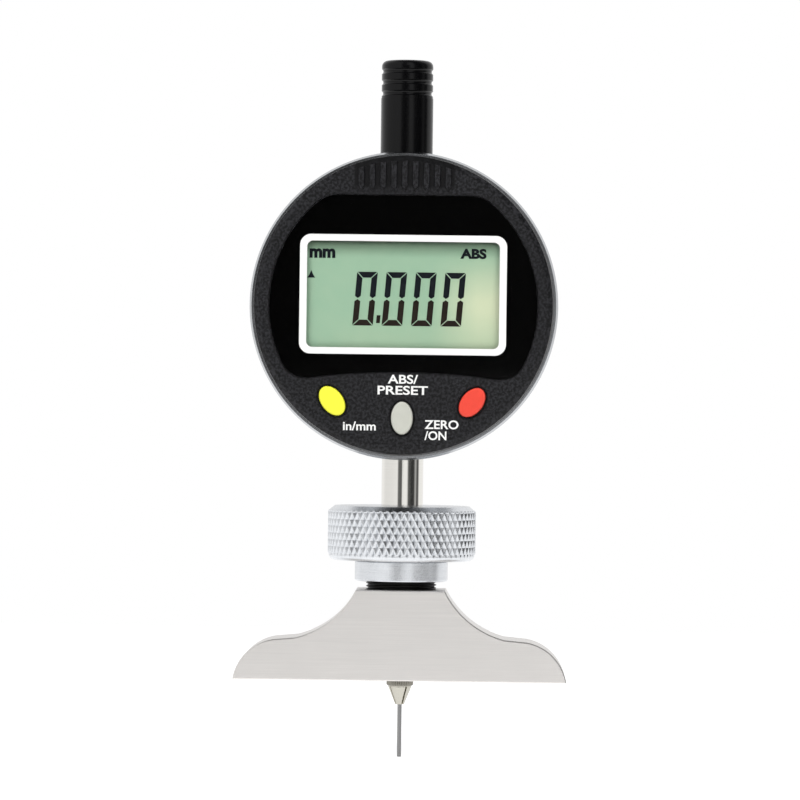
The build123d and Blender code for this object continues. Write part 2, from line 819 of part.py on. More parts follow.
# Seal between the case's rim and the rear cover
with BuildPart() as case_seal:
    with BuildSketch(dial_plane(case_rim_y)):
        Circle(case_inner_radius + seal_width)
        Circle(case_inner_radius, mode=Mode.SUBTRACT)
    extrude(amount=-seal_thickness)
case_seal.part.label = "case_seal"
export_step(case_seal.part, "parts/case_seal.step")

# Rear cover with the battery pocket, open to the back through a bayonet mouth
with BuildPart() as rear_cover:
    pocket_outer_radius = pocket_radius + pocket_wall
    with BuildSketch(dial_plane(cover_inner_y)):
        Circle(case_radius)
    extrude(amount=-rear_cover_thickness)
    chamfer(rear_cover.faces().sort_by(Axis.Y)[-1].edges(), rear_cover_edge)
    with BuildSketch(dial_plane(pocket_floor_y)):
        Circle(pocket_outer_radius)
    extrude(amount=pocket_floor_y - cover_inner_y)
    with BuildSketch(dial_plane(pocket_floor_y + pocket_floor)):
        Circle(pocket_radius)
    extrude(amount=pocket_floor_y - back_y, mode=Mode.SUBTRACT)
    with BuildSketch(dial_plane(lug_front_y - lug_gap)):
        Circle(lug_radius + lug_gap)
    extrude(amount=lug_front_y - lug_gap - lip_front_y, mode=Mode.SUBTRACT)
    with BuildSketch(dial_plane(lip_front_y)):
        Rectangle(lug_width + lug_entry, 2 * (lug_radius + lug_gap))
    extrude(amount=-lug_lip, mode=Mode.SUBTRACT)
    with BuildSketch(dial_plane(pocket_floor_y)):
        Rectangle(tail_size, tail_size)
        with Locations((cell_radius, 0)):
            Rectangle(tail_size, tail_size, align=(Align.MAX, Align.CENTER))
    extrude(amount=-pocket_floor, mode=Mode.SUBTRACT)
    with BuildSketch(dial_plane(back_y)):
        with Locations(*cover_screw_points):
            Circle(cover_screw_radius + screw_clearance)
    extrude(amount=rear_cover_thickness, mode=Mode.SUBTRACT)
    with BuildSketch(dial_plane(back_y)):
        with Locations(*cover_screw_points):
            Circle(cover_head_radius + screw_clearance)
    extrude(amount=cover_head_height, mode=Mode.SUBTRACT)
rear_cover.part.label = "rear_cover"
export_step(rear_cover.part, "parts/rear_cover.step")

# Rear cover's screws, slotted, with heads level with the cover
with BuildPart() as rear_screws:
    with BuildSketch(dial_plane(back_y)):
        with Locations(*cover_screw_points):
            Circle(cover_head_radius)
    extrude(amount=cover_head_height)
    chamfer(rear_screws.faces().group_by(Axis.Y)[-1].edges(), small_edge)
    with BuildSketch(dial_plane(case_rim_y)):
        with Locations(*cover_screw_points):
            Circle(cover_screw_radius)
    extrude(amount=cover_screw_length)
    with BuildSketch(dial_plane(case_rim_y)):
        with Locations(*cover_screw_points):
            Circle(cover_screw_radius)
    extrude(amount=case_rim_y - back_y + cover_head_height)
    with BuildSketch(dial_plane(back_y)):
        with Locations(*cover_screw_points):
            Rectangle(screw_slot[0], screw_slot[1], rotation=screw_slot_turn)
    extrude(amount=screw_slot[2], mode=Mode.SUBTRACT)
rear_screws.part.label = "rear_screws"
export_step(rear_screws.part, "parts/rear_screws.step")

# Coin cell
with BuildPart() as battery:
    with BuildSketch(dial_plane(contact_back_y)):
        Circle(cell_radius)
    extrude(amount=-cell_thickness)
    chamfer(battery.edges().filter_by(GeomType.CIRCLE), small_edge)
battery.part.label = "battery"
export_step(battery.part, "parts/battery.step")

# Battery contacts: a leaf under the cell and a clip at its side, each with a tail to the sensor board
with BuildPart() as battery_contacts:
    clip_foot_y = pocket_floor_y + pocket_floor
    with BuildSketch(dial_plane(clip_foot_y)):
        Rectangle(contact_size[0], contact_size[1])
    extrude(amount=-contact_thickness)
    with BuildSketch(dial_plane(sensor_back_y)):
        Rectangle(tail_size, tail_size)
    extrude(amount=sensor_back_y - clip_foot_y)
    with BuildSketch(dial_plane(clip_foot_y)):
        with Locations((cell_radius, 0)):
            Rectangle(clip_plate[0], clip_plate[1], align=(Align.MIN, Align.CENTER))
            Rectangle(tail_size, tail_size, align=(Align.MAX, Align.CENTER))
    extrude(amount=-contact_thickness)
    with BuildSketch(dial_plane(clip_foot_y)):
        with Locations((cell_radius, 0)):
            Rectangle(clip_plate[0], clip_plate[1], align=(Align.MIN, Align.CENTER))
    extrude(amount=-clip_plate[2])
    with BuildSketch(dial_plane(sensor_back_y)):
        with Locations((cell_radius, 0)):
            Rectangle(tail_size, tail_size, align=(Align.MAX, Align.CENTER))
    extrude(amount=sensor_back_y - clip_foot_y)
battery_contacts.part.label = "battery_contacts"
export_step(battery_contacts.part, "parts/battery_contacts.step")

# Battery cap: a disc with two bayonet lugs and a coin slot, shown locked
with BuildPart() as battery_cap:
    with BuildSketch(dial_plane(lug_front_y)):
        Circle(cap_radius)
    extrude(amount=-cap_thickness)
    with BuildSketch(dial_plane(lug_front_y)):
        Rectangle(2 * lug_radius, lug_width)
        Circle(lug_radius, mode=Mode.INTERSECT)
    extrude(amount=-lug_thickness)
    with BuildSketch(dial_plane(back_y)):
        Rectangle(coin_slot[0], 2 * (cap_radius - coin_slot_inset))
    extrude(amount=coin_slot[1], mode=Mode.SUBTRACT)
battery_cap.part.label = "battery_cap"
export_step(battery_cap.part, "parts/battery_cap.step")

# Front cover: a shallow cup turned about the dial's axis, with bosses behind, grip ribs at the top, a
# recess for the lens, the window, and a well and an opening for each button
with BuildPart() as front_cover:
    with BuildSketch(Plane.XY.offset(dial_z)):
        with BuildLine():
            Polyline(
                (0, cover_front_y),
                (cover_radius - rim_bevel[0], cover_front_y),
                (cover_radius, cover_front_y + rim_bevel[1]),
                (skirt_radius, skirt_end_y),
                (skirt_inner_radius, skirt_end_y),
                (skirt_inner_radius, plate_back_y),
                (0, plate_back_y),
                close=True,
            )
        make_face()
    revolve(axis=dial_axis)
    with BuildSketch(dial_plane(plate_back_y)):
        with Locations(*display_screw_points):
            Circle(display_boss_radius)
    extrude(amount=plate_back_y - carrier_front_y)
    with BuildSketch(dial_plane(carrier_front_y)):
        with Locations(*display_screw_points):
            Circle(display_screw_radius)
    extrude(amount=display_screw_length, mode=Mode.SUBTRACT)
    with BuildSketch(dial_plane(cover_front_y)):
        with GridLocations(rib_pitch, 0, rib_count, 1):
            Polygon(
                (-rib_width / 2, rib_foot),
                (0, rib_foot - rib_point),
                (rib_width / 2, rib_foot),
                (rib_width / 2, cover_radius),
                (-rib_width / 2, cover_radius),
                align=None,
            )
        Circle(cover_radius - rim_bevel[0], mode=Mode.INTERSECT)
    extrude(amount=rib_height, taper=rib_draft)
    with BuildSketch(dial_plane(cover_front_y)):
        add(lens_recess)
    extrude(amount=cover_front_y - lens_floor_y, mode=Mode.SUBTRACT)
    with BuildSketch(dial_plane(lens_floor_y)):
        with Locations((0, window_z)):
            Rectangle(*window_size)
    extrude(amount=lens_floor_y - plate_back_y, mode=Mode.SUBTRACT)
    for x, z, tilt in button_places.values():
        with BuildSketch(dial_plane(cover_front_y)):
            with Locations((x, z)):
                Ellipse(button_radii[0] + button_well, button_radii[1] + button_well, rotation=tilt)
        extrude(amount=-button_well_depth, mode=Mode.SUBTRACT)
        with BuildSketch(dial_plane(cover_front_y)):
            with Locations((x, z)):
                Ellipse(button_radii[0] + button_gap, button_radii[1] + button_gap, rotation=tilt)
        extrude(amount=-cover_plate, mode=Mode.SUBTRACT)
front_cover.part.label = "front_cover"
export_step(front_cover.part, "parts/front_cover.step")

# Bezel ring: a metal rim with a lip between the cover's skirt and the carrier, notched at its tail
with BuildPart() as bezel_ring:
    with BuildSketch(Plane.XY.offset(dial_z)):
        with BuildLine():
            Polyline(
                (ring_lip_radius, skirt_end_y),
                (ring_front_radius, skirt_end_y),
                (ring_radius, skirt_end_y + ring_bevel_depth),
                (ring_radius, ring_tail_y),
                (skirt_inner_radius, ring_tail_y),
                (skirt_inner_radius, carrier_front_y),
                (ring_lip_radius, carrier_front_y),
                close=True,
            )
        make_face()
    revolve(axis=dial_axis)
    with BuildSketch(dial_plane(ring_tail_y)):
        with PolarLocations(ring_radius, notch_count, start_angle=180 / notch_count):
            Rectangle(2 * notch_depth, notch_width)
    extrude(amount=notch_length, mode=Mode.SUBTRACT)
bezel_ring.part.label = "bezel_ring"
export_step(bezel_ring.part, "parts/bezel_ring.step")

# Window lens
with BuildPart() as window_lens:
    with BuildSketch(dial_plane(lens_front_y)):
        add(lens_face)
    extrude(amount=-lens_thickness)
window_lens.part.label = "window_lens"
export_step(window_lens.part, "parts/window_lens.step")

# Liquid crystal panel
with BuildPart() as lcd_panel:
    with BuildSketch(dial_plane(plate_back_y)):
        with Locations((0, window_z)):
            Rectangle(*panel_size)
    extrude(amount=-panel_thickness)
lcd_panel.part.label = "lcd_panel"
export_step(lcd_panel.part, "parts/lcd_panel.step")

# Panel frame: a pocket for the panel in front and an opening for the contact strips behind
with BuildPart() as lcd_frame:
    with BuildSketch(dial_plane(plate_back_y)):
        with Locations((0, window_z)):
            Rectangle(*frame_size)
        Circle(frame_corner_radius, mode=Mode.INTERSECT)
    extrude(amount=plate_back_y - board_front_y)
    with BuildSketch(dial_plane(plate_back_y)):
        with Locations((0, window_z)):
            Rectangle(panel_size[0] + 2 * panel_gap, panel_size[1] + 2 * panel_gap)
    extrude(amount=-panel_thickness, mode=Mode.SUBTRACT)
    with BuildSketch(dial_plane(panel_back_y)):
        with Locations((0, window_z)):
            Rectangle(
                strip_size[0] + 2 * panel_gap,
                2 * strip_offset + strip_size[1] + 2 * panel_gap,
            )
    extrude(amount=-strip_height, mode=Mode.SUBTRACT)
lcd_frame.part.label = "lcd_frame"
export_step(lcd_frame.part, "parts/lcd_frame.step")

# Contact strips between the panel's upper and lower edges and the board
with BuildPart() as contact_strips:
    with BuildSketch(dial_plane(panel_back_y)):
        with Locations((0, window_z - strip_offset), (0, window_z + strip_offset)):
            Rectangle(*strip_size)
    extrude(amount=-strip_height)
contact_strips.part.label = "contact_strips"
export_step(contact_strips.part, "parts/contact_strips.step")

# Display board, notched around the cover's bosses
with BuildPart() as display_board:
    with BuildSketch(dial_plane(board_front_y)):
        Circle(board_radius)
        with Locations(*display_screw_points):
            Circle(display_boss_radius + screw_clearance, mode=Mode.SUBTRACT)
    extrude(amount=-board_thickness)
display_board.part.label = "display_board"
export_step(display_board.part, "parts/display_board.step")

# Processor chip
with BuildPart() as processor_chip:
    with BuildSketch(dial_plane(board_front_y)):
        with Locations((0, window_z)):
            Rectangle(chip_size[0], chip_size[1])
    extrude(amount=chip_size[2])
processor_chip.part.label = "processor_chip"
export_step(processor_chip.part, "parts/processor_chip.step")

# Cable socket at the middle of the board's back
with BuildPart() as cable_socket:
    with BuildSketch(dial_plane(board_back_y)):
        Rectangle(socket_size[0], socket_size[1])
    extrude(amount=-socket_size[2])
cable_socket.part.label = "cable_socket"
export_step(cable_socket.part, "parts/cable_socket.step")

# Push switches, one under each button
with BuildPart() as push_switches:
    with BuildSketch(dial_plane(board_front_y)):
        for x, z, tilt in button_places.values():
            with Locations((x, z)):
                Rectangle(switch_size, switch_size, rotation=tilt)
    extrude(amount=switch_height)
    with BuildSketch(dial_plane(board_front_y - switch_height)):
        with Locations(*button_points):
            Circle(plunger_radius)
    extrude(amount=plunger_height)
push_switches.part.label = "push_switches"
export_step(push_switches.part, "parts/push_switches.step")

# Display carrier: the back plate that turns on the case's spigot, with pads that bear on the board
with BuildPart() as display_carrier:
    with BuildSketch(dial_plane(carrier_front_y)):
        Circle(skirt_inner_radius)
        Circle(spigot_radius + turning_gap, mode=Mode.SUBTRACT)
        with Locations(*display_screw_points):
            Circle(display_screw_radius, mode=Mode.SUBTRACT)
    extrude(amount=-carrier_thickness)
    with BuildSketch(dial_plane(carrier_back_y)):
        with Locations(*display_screw_points):
            Circle(display_well_radius)
    extrude(amount=display_well_depth, mode=Mode.SUBTRACT)
    with BuildSketch(dial_plane(carrier_front_y)):
        with PolarLocations(board_pad_circle, 4):
            Circle(board_pad_radius)
    extrude(amount=board_pad)
display_carrier.part.label = "display_carrier"
export_step(display_carrier.part, "parts/display_carrier.step")

# Display screws, from the carrier's back into the cover's bosses
with BuildPart() as display_screws:
    with BuildSketch(dial_plane(carrier_back_y - display_well_depth)):
        with Locations(*display_screw_points):
            Circle(display_head_radius)
    extrude(amount=-display_head_height)
    with BuildSketch(dial_plane(carrier_back_y - display_well_depth)):
        with Locations(*display_screw_points):
            Circle(display_screw_radius)
    extrude(amount=carrier_thickness - display_well_depth + display_screw_length)
display_screws.part.label = "display_screws"
export_step(display_screws.part, "parts/display_screws.step")

# Buttons: an oval key with a rounded edge, a flange behind the cover and a foot above its switch
for button_name, (x, z, tilt) in button_places.items():
    with BuildPart() as button:
        with BuildSketch(dial_plane(plate_back_y)):
            with Locations((x, z)):
                Ellipse(*button_radii, rotation=tilt)
        extrude(amount=cover_plate + button_proud)
        fillet(button.faces().sort_by(Axis.Y)[0].edges(), button_edge)
        with BuildSketch(dial_plane(plate_back_y)):
            with Locations((x, z)):
                Ellipse(
                    button_radii[0] + button_flange,
                    button_radii[1] + button_flange,
                    rotation=tilt,
                )
        extrude(amount=-button_flange_thickness)
        with BuildSketch(dial_plane(plate_back_y + button_flange_thickness)):
            with Locations((x, z)):
                Circle(button_foot_radius)
        extrude(amount=-button_foot)
    button.part.label = button_name
    export_step(button.part, f"parts/{button_name}.step")

# Pin holder: a stud in the spindle, a neck, a gripping ring and a cone bored for the pin
with BuildPart() as pin_holder:
    with BuildSketch(Plane.XZ):
        with BuildLine():
            Polyline(
                (0, holder_tip_z),
                (holder_tip_radius, holder_tip_z),
                (holder_ring_radius, holder_ring_foot_z),
                (holder_ring_radius, holder_ring_top_z),
                (holder_neck_radius, holder_ring_top_z),
                (holder_neck_radius, spindle_foot_z),
                (holder_stud_radius, spindle_foot_z),
                (holder_stud_radius, spindle_foot_z + holder_stud_length),
                (0, spindle_foot_z + holder_stud_length),
                close=True,
            )
        make_face()
    revolve(axis=Axis.Z)
    with BuildSketch(Plane.XY.offset(holder_tip_z)):
        Circle(pin_radius)
    extrude(amount=pin_seat, mode=Mode.SUBTRACT)
pin_holder.part.label = "pin_holder"
export_step(pin_holder.part, "parts/pin_holder.step")

# Measuring pin
with BuildPart() as measuring_pin:
    with BuildSketch(Plane.XY.offset(pin_tip_z)):
        Circle(pin_radius)
    extrude(amount=holder_tip_z + pin_seat - pin_tip_z)
    chamfer(measuring_pin.faces().sort_by(Axis.Z)[0].edges(), needle_edge)
measuring_pin.part.label = "measuring_pin"
export_step(measuring_pin.part, "parts/measuring_pin.step")
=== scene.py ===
import math

import bmesh
import bpy
import numpy as np
from mathutils import Matrix, Vector


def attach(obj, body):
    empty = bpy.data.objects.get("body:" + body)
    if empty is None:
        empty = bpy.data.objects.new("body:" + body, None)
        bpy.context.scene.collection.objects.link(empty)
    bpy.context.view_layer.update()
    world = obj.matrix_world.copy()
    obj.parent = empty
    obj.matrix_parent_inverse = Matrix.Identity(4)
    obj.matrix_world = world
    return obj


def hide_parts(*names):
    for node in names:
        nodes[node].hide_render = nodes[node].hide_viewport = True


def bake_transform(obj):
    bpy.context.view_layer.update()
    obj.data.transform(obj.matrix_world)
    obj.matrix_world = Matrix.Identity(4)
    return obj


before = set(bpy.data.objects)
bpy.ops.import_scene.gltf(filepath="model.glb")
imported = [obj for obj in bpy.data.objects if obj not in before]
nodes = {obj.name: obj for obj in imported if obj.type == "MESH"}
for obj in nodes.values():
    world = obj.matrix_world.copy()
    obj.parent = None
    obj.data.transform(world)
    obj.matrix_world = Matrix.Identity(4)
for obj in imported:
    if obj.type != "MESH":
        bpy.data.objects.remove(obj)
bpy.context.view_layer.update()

MM = 0.001
DIAL_Z = 71.3

# Camera: the photograph's distance, aim and tilt
CAMERA_BACK = 900.0
CAMERA_X = 16.0
CAMERA_AIM_X = -0.66
CAMERA_Z = 53.42
CAMERA_ROLL = -0.73
CAMERA_LENS = 211.4


def linear(code, alpha=1.0):
    """Linear colour of a six-digit sRGB code."""
    out = []
    for i in (0, 2, 4):
        c = int(code[i : i + 2], 16) / 255
        out.append(c / 12.92 if c <= 0.04045 else ((c + 0.055) / 1.055) ** 2.4)
    return (*out, alpha)


class Nodes:
    """Short names for the nodes of one material."""

    def __init__(self, name):
        self.mat = bpy.data.materials.new(name)
        self.mat.use_nodes = True
        self.tree = self.mat.node_tree
        self.tree.nodes.clear()
        self.out = self.add("ShaderNodeOutputMaterial")
        self.coords = self.add("ShaderNodeTexCoord").outputs["Object"]

    def add(self, kind, **values):
        node = self.tree.nodes.new(kind)
        for key, value in values.items():
            setattr(node, key, value)
        return node

    def link(self, a, b):
        self.tree.links.new(a, b)

    def put(self, value, socket):
        if isinstance(value, bpy.types.NodeSocket):
            self.link(value, socket)
        else:
            socket.default_value = value

    def math(self, operation, a, b=0.0, clamp=False):
        node = self.add("ShaderNodeMath", operation=operation, use_clamp=clamp)
        self.put(a, node.inputs[0])
        self.put(b, node.inputs[1])
        return node.outputs[0]

    def stretched(self, scale):
        node = self.add("ShaderNodeMapping")
        node.inputs["Scale"].default_value = scale
        self.link(self.coords, node.inputs["Vector"])
        return node.outputs[0]

    def noise(self, size_mm, detail=2.0, rough=0.5, stretch=(1, 1, 1)):
        """Noise whose grains are about size_mm, stretched along each axis."""
        node = self.add("ShaderNodeTexNoise")
        scale = 1 / (size_mm * MM)
        self.link(self.stretched([scale / s for s in stretch]), node.inputs["Vector"])
        node.inputs["Scale"].default_value = 1.0
        node.inputs["Detail"].default_value = detail
        node.inputs["Roughness"].default_value = rough
        return node.outputs["Fac"]

    def spread(self, value, low, high, start=0.3, end=0.7):
        """Maps start..end of value to low..high."""
        node = self.add("ShaderNodeMapRange")
        self.put(value, node.inputs["Value"])
        node.inputs["From Min"].default_value = start
        node.inputs["From Max"].default_value = end
        node.inputs["To Min"].default_value = low
        node.inputs["To Max"].default_value = high
        return node.outputs["Result"]

    def mix(self, factor, a, b, blend="MIX"):
        node = self.add("ShaderNodeMix", data_type="RGBA", blend_type=blend)
        self.put(factor, node.inputs["Factor"])
        self.put(a, node.inputs[6])
        self.put(b, node.inputs[7])
        return node.outputs[2]

    def bump(self, height, depth_mm, strength=1.0, normal=None):
        node = self.add("ShaderNodeBump")
        node.inputs["Distance"].default_value = depth_mm * MM
        node.inputs["Strength"].default_value = strength
        self.link(height, node.inputs["Height"])
        if normal is not None:
            self.link(normal, node.inputs["Normal"])
        return node.outputs["Normal"]

    def rounded(self, radius_mm):
        node = self.add("ShaderNodeBevel", samples=4)
        node.inputs["Radius"].default_value = radius_mm * MM
        return node.outputs["Normal"]

    def shader(self, color, rough, metal=0.0, normal=None, **sockets):
        node = self.add("ShaderNodeBsdfPrincipled")
        self.put(color, node.inputs["Base Color"])
        self.put(rough, node.inputs["Roughness"])
        node.inputs["Metallic"].default_value = metal
        if normal is not None:
            self.link(normal, node.inputs["Normal"])
        for key, value in sockets.items():
            node.inputs[key.replace("_", " ")].default_value = value
        self.link(node.outputs[0], self.out.inputs["Surface"])
        return self.mat


def surface(name, code, rough, metal=0.0, vary=0.06, size=3.0, stretch=(1, 1, 1), rough_vary=0.05,
            grain=0.2, grain_stretch=(1, 1, 1), depth=0.01, edge=0.0, **sockets):
    """A material with colour and roughness that wander a little, and a fine grain in its bump."""
    n = Nodes(name)
    drift = n.noise(size, 3.0, 0.6, stretch)
    base = linear(code)
    dark = tuple(c * (1 - vary) for c in base[:3]) + (1.0,)
    light = tuple(min(1.0, c * (1 + vary)) for c in base[:3]) + (1.0,)
    color = n.mix(n.spread(drift, 0, 1), dark, light)
    fine = n.noise(grain, 2.0, 0.6, grain_stretch)
    roughness = n.spread(fine, max(0.02, rough - rough_vary), rough + rough_vary)
    normal = n.bump(fine, depth, 1.0, n.rounded(edge) if edge else None)
    return n.shader(color, roughness, metal, normal, **sockets)


def brushed(name, code, rough, along, length=8.0, width=0.06, depth=0.004, vary=0.05, streak=0.35, edge=0.0,
            metal=1.0):
    """Metal with fine streaks along one axis, some long faint ones and a slight cloud."""
    n = Nodes(name)
    stretch = [1, 1, 1]
    stretch[along] = length / width
    fine = n.noise(width, 3.0, 0.65, stretch)
    stretch[along] = 2.2 * length / (6 * width)
    coarse = n.noise(6 * width, 2.0, 0.5, stretch)
    cloud = n.noise(9.0, 2.0, 0.5)
    base = linear(code)
    dark = tuple(c * (1 - vary) for c in base[:3]) + (1.0,)
    light = tuple(min(1.0, c * (1 + vary)) for c in base[:3]) + (1.0,)
    both = n.math("ADD", n.math("MULTIPLY", fine, 1 - streak), n.math("MULTIPLY", coarse, streak))
    color = n.mix(n.spread(both, 0, 1, 0.35, 0.65), dark, light)
    color = n.mix(n.spread(cloud, 0.0, 0.5), color, tuple(c * 0.96 for c in base[:3]) + (1.0,))
    roughness = n.spread(both, rough - 0.07, rough + 0.07, 0.35, 0.65)
    normal = n.bump(both, depth, 1.0, n.rounded(edge) if edge else None)
    return n.shader(color, roughness, metal, normal)


def turned(name, code, rough, metal=1.0, depth=0.002, pitch=0.05, vary=0.04, axis=2, edge=0.0, **sockets):
    """Metal turned on a lathe: fine rings along the axis of turning."""
    n = Nodes(name)
    stretch = [400, 400, 400]
    stretch[axis] = 1
    rings = n.noise(pitch, 2.0, 0.5, stretch)
    cloud = n.noise(4.0, 2.0, 0.5)
    base = linear(code)
    dark = tuple(c * (1 - vary) for c in base[:3]) + (1.0,)
    light = tuple(min(1.0, c * (1 + vary)) for c in base[:3]) + (1.0,)
    color = n.mix(n.spread(rings, 0, 1), dark, light)
    roughness = n.math("ADD", n.spread(rings, rough - 0.04, rough + 0.02), n.spread(cloud, 0.0, 0.03))
    normal = n.bump(rings, depth, 1.0, n.rounded(edge) if edge else None)
    return n.shader(color, roughness, metal, normal, **sockets)


def clear_window(name):
    """Clear plastic window: lets light through and mirrors a little, more at a slant."""
    n = Nodes(name)
    clear = n.add("ShaderNodeBsdfTransparent")
    clear.inputs["Color"].default_value = (0.995, 0.995, 0.995, 1)
    gloss = n.add("ShaderNodeBsdfGlossy")
    gloss.inputs["Roughness"].default_value = 0.03
    gloss.inputs["Color"].default_value = (1, 1, 1, 1)
    haze = n.bump(n.noise(5.0, 1.0), 0.01, 0.3)
    n.link(haze, gloss.inputs["Normal"])
    fresnel = n.add("ShaderNodeFresnel")
    fresnel.inputs["IOR"].default_value = 1.3
    outside = n.math("SUBTRACT", 1.0, n.add("ShaderNodeNewGeometry").outputs["Backfacing"])
    mix = n.add("ShaderNodeMixShader")
    n.link(n.math("MULTIPLY", fresnel.outputs[0], outside), mix.inputs[0])
    n.link(clear.outputs[0], mix.inputs[1])
    n.link(gloss.outputs[0], mix.inputs[2])
    n.link(mix.outputs[0], n.out.inputs["Surface"])
    return n.mat


def panel_material(name):
    """Liquid crystal panel: green at the left to yellow-green at the right, with a painted shadow of the frame's
    recess darkening it along the top.
    """
    n = Nodes(name)
    split = n.add("ShaderNodeSeparateXYZ")
    n.link(n.coords, split.inputs[0])
    across = n.spread(split.outputs["X"], 0, 1, 5 * MM, 14 * MM)
    height = n.spread(split.outputs["Z"], 1, 0, (DIAL_Z + 1.0) * MM, (DIAL_Z + 10.0) * MM)
    color = n.mix(n.math("MULTIPLY", across, height), linear("9bbda1"), linear("d0dab8"))
    low = n.spread(split.outputs["Z"], 0, 0.8, (DIAL_Z - 1.0) * MM, (DIAL_Z - 6.0) * MM)
    color = n.mix(n.math("MULTIPLY", low, n.spread(split.outputs["X"], 0, 0.6, -17 * MM, -8 * MM)), color, linear("a9c3a4"))
    # Painted shadow: the shade that the frame's recess casts on the top of the panel, painted as a darkening towards
    # 2c3c2c.
    painted_top_shadow = n.spread(split.outputs["Z"], 0, 1, (DIAL_Z + 8.9) * MM, (DIAL_Z + 12.2) * MM)
    painted_top_shadow = n.math("POWER", painted_top_shadow, 1.3)
    color = n.mix(n.math("MULTIPLY", painted_top_shadow, 0.93), color, linear("2c3c2c"))
    foot = n.spread(split.outputs["Z"], 0, 0.3, (DIAL_Z - 6.6) * MM, (DIAL_Z - 8.4) * MM)
    color = n.mix(foot, color, linear("5d7a5c"))
    cloud = n.noise(2.5, 3.0)
    color = n.mix(n.spread(cloud, 0.0, 0.05), color, linear("e2e6c8"))
    roughness = n.spread(n.noise(0.1), 0.24, 0.32)
    normal = n.bump(n.noise(0.06, 1.0), 0.002, 0.5)
    return n.shader(color, roughness, 0.0, normal, Specular_IOR_Level=0.25)


def cover_material(name):
    """Moulded black plastic with a coarse speckle, and painted shade darkening the grooves between the grip ribs."""
    n = Nodes(name)
    speckle = n.noise(0.5, 2.0, 0.6)
    color = n.mix(n.spread(speckle, 0, 1, 0.42, 0.6), linear("050506"), linear("29292c"))
    cloud = n.noise(6.0, 2.0, 0.5)
    color = n.mix(n.spread(cloud, 0.0, 0.25), color, linear("101012"))
    # Painted shade: the floor between the grip ribs is darkened towards 020203, as shade in the grooves.
    split = n.add("ShaderNodeSeparateXYZ")
    n.link(n.coords, split.inputs[0])
    aside = n.math("ABSOLUTE", split.outputs["X"])
    within = n.spread(aside, 1, 0, 9.3 * MM, 9.6 * MM)
    above = n.spread(split.outputs["Z"], 0, 1, (DIAL_Z + 21.8) * MM, (DIAL_Z + 22.6) * MM)
    sunk = n.math("GREATER_THAN", split.outputs["Y"], -14.7 * MM)
    gap = n.math("MULTIPLY", n.math("MULTIPLY", within, above), n.math("MULTIPLY", sunk, 0.85))
    color = n.mix(gap, color, linear("020203"))
    fine = n.noise(0.24, 2.0, 0.6)
    roughness = n.spread(fine, 0.42, 0.62)
    normal = n.bump(fine, 0.03, 1.0, n.rounded(0.12))
    return n.shader(color, roughness, 0.0, normal, Specular_IOR_Level=0.25)


def knurl_material(name, code="e4e6e9"):
    """Turned and knurled aluminium: the floors of the sunk diamonds are rougher than the ridges, and painted shade
    darkens them.
    """
    n = Nodes(name)
    split = n.add("ShaderNodeSeparateXYZ")
    n.link(n.coords, split.inputs[0])
    reach = n.math("SQRT", n.math("ADD", n.math("MULTIPLY", split.outputs["X"], split.outputs["X"]),
                                  n.math("MULTIPLY", split.outputs["Y"], split.outputs["Y"])))
    sunk = n.spread(reach, 1, 0, 13.8 * MM, 14.12 * MM)
    over = n.math("GREATER_THAN", split.outputs["Z"], 24.0 * MM)
    under = n.math("LESS_THAN", split.outputs["Z"], 32.1 * MM)
    sunk = n.math("MULTIPLY", sunk, n.math("MULTIPLY", over, under))
    streak = n.noise(0.05, 2.0, 0.5, (300, 300, 1))
    cloud = n.noise(2.0, 2.0, 0.5)
    color = n.mix(n.spread(streak, 0, 1), linear("d2d5d9"), linear(code))
    color = n.mix(n.spread(cloud, 0.0, 0.3), color, linear("c4c7cb"))
    # Painted shade: the floors of the sunk diamonds are darkened towards a9acb1, as shade in the pits.
    color = n.mix(n.math("MULTIPLY", sunk, 0.4), color, linear("a9acb1"))
    roughness = n.math("ADD", n.spread(n.noise(0.12, 2.0), 0.22, 0.34), n.math("MULTIPLY", sunk, 0.12))
    normal = n.bump(streak, 0.003, 1.0)
    return n.shader(color, roughness, 1.0, normal)


def board_material(name):
    """Green board: tracks under the mask, with scattered pads."""
    n = Nodes(name)
    brick = n.add("ShaderNodeTexBrick", offset=0.37, squash=0.6, squash_frequency=3)
    brick.inputs["Scale"].default_value = 420.0
    brick.inputs["Mortar Size"].default_value = 0.012
    brick.inputs["Brick Width"].default_value = 0.9
    brick.inputs["Row Height"].default_value = 0.3
    brick.inputs["Color1"].default_value = linear("14552f")
    brick.inputs["Color2"].default_value = linear("186238")
    brick.inputs["Mortar"].default_value = linear("2f8a55")
    turn = n.add("ShaderNodeMapping")
    turn.inputs["Rotation"].default_value = (math.pi / 2, 0, 0)
    n.link(n.coords, turn.inputs["Vector"])
    n.link(turn.outputs[0], brick.inputs["Vector"])
    cells = n.add("ShaderNodeTexVoronoi", feature="F1")
    cells.inputs["Scale"].default_value = 450.0
    n.link(n.coords, cells.inputs["Vector"])
    pad = n.math("LESS_THAN", cells.outputs["Distance"], 0.16)
    color = n.mix(pad, brick.outputs["Color"], linear("c9c4a8"))
    normal = n.bump(brick.outputs["Fac"], 0.02, 0.4)
    return n.shader(color, n.spread(n.noise(0.5), 0.22, 0.34), 0.0, normal, Coat_Weight=0.3)


def scale_material(name):
    """Scale strip: copper bars across the strip under a green mask."""
    n = Nodes(name)
    split = n.add("ShaderNodeSeparateXYZ")
    n.link(n.coords, split.inputs[0])
    wave = n.math("FRACT", n.math("MULTIPLY", split.outputs["Z"], 1 / (1.25 * MM)))
    bar = n.math("LESS_THAN", wave, 0.5)
    edge = n.math("LESS_THAN", n.math("ABSOLUTE", split.outputs["X"]), 2.6 * MM)
    color = n.mix(n.math("MULTIPLY", bar, edge), linear("14552f"), linear("b98c58"))
    return n.shader(color, n.spread(n.noise(0.4), 0.25, 0.4), 0.0, n.bump(bar, 0.02, 0.5))


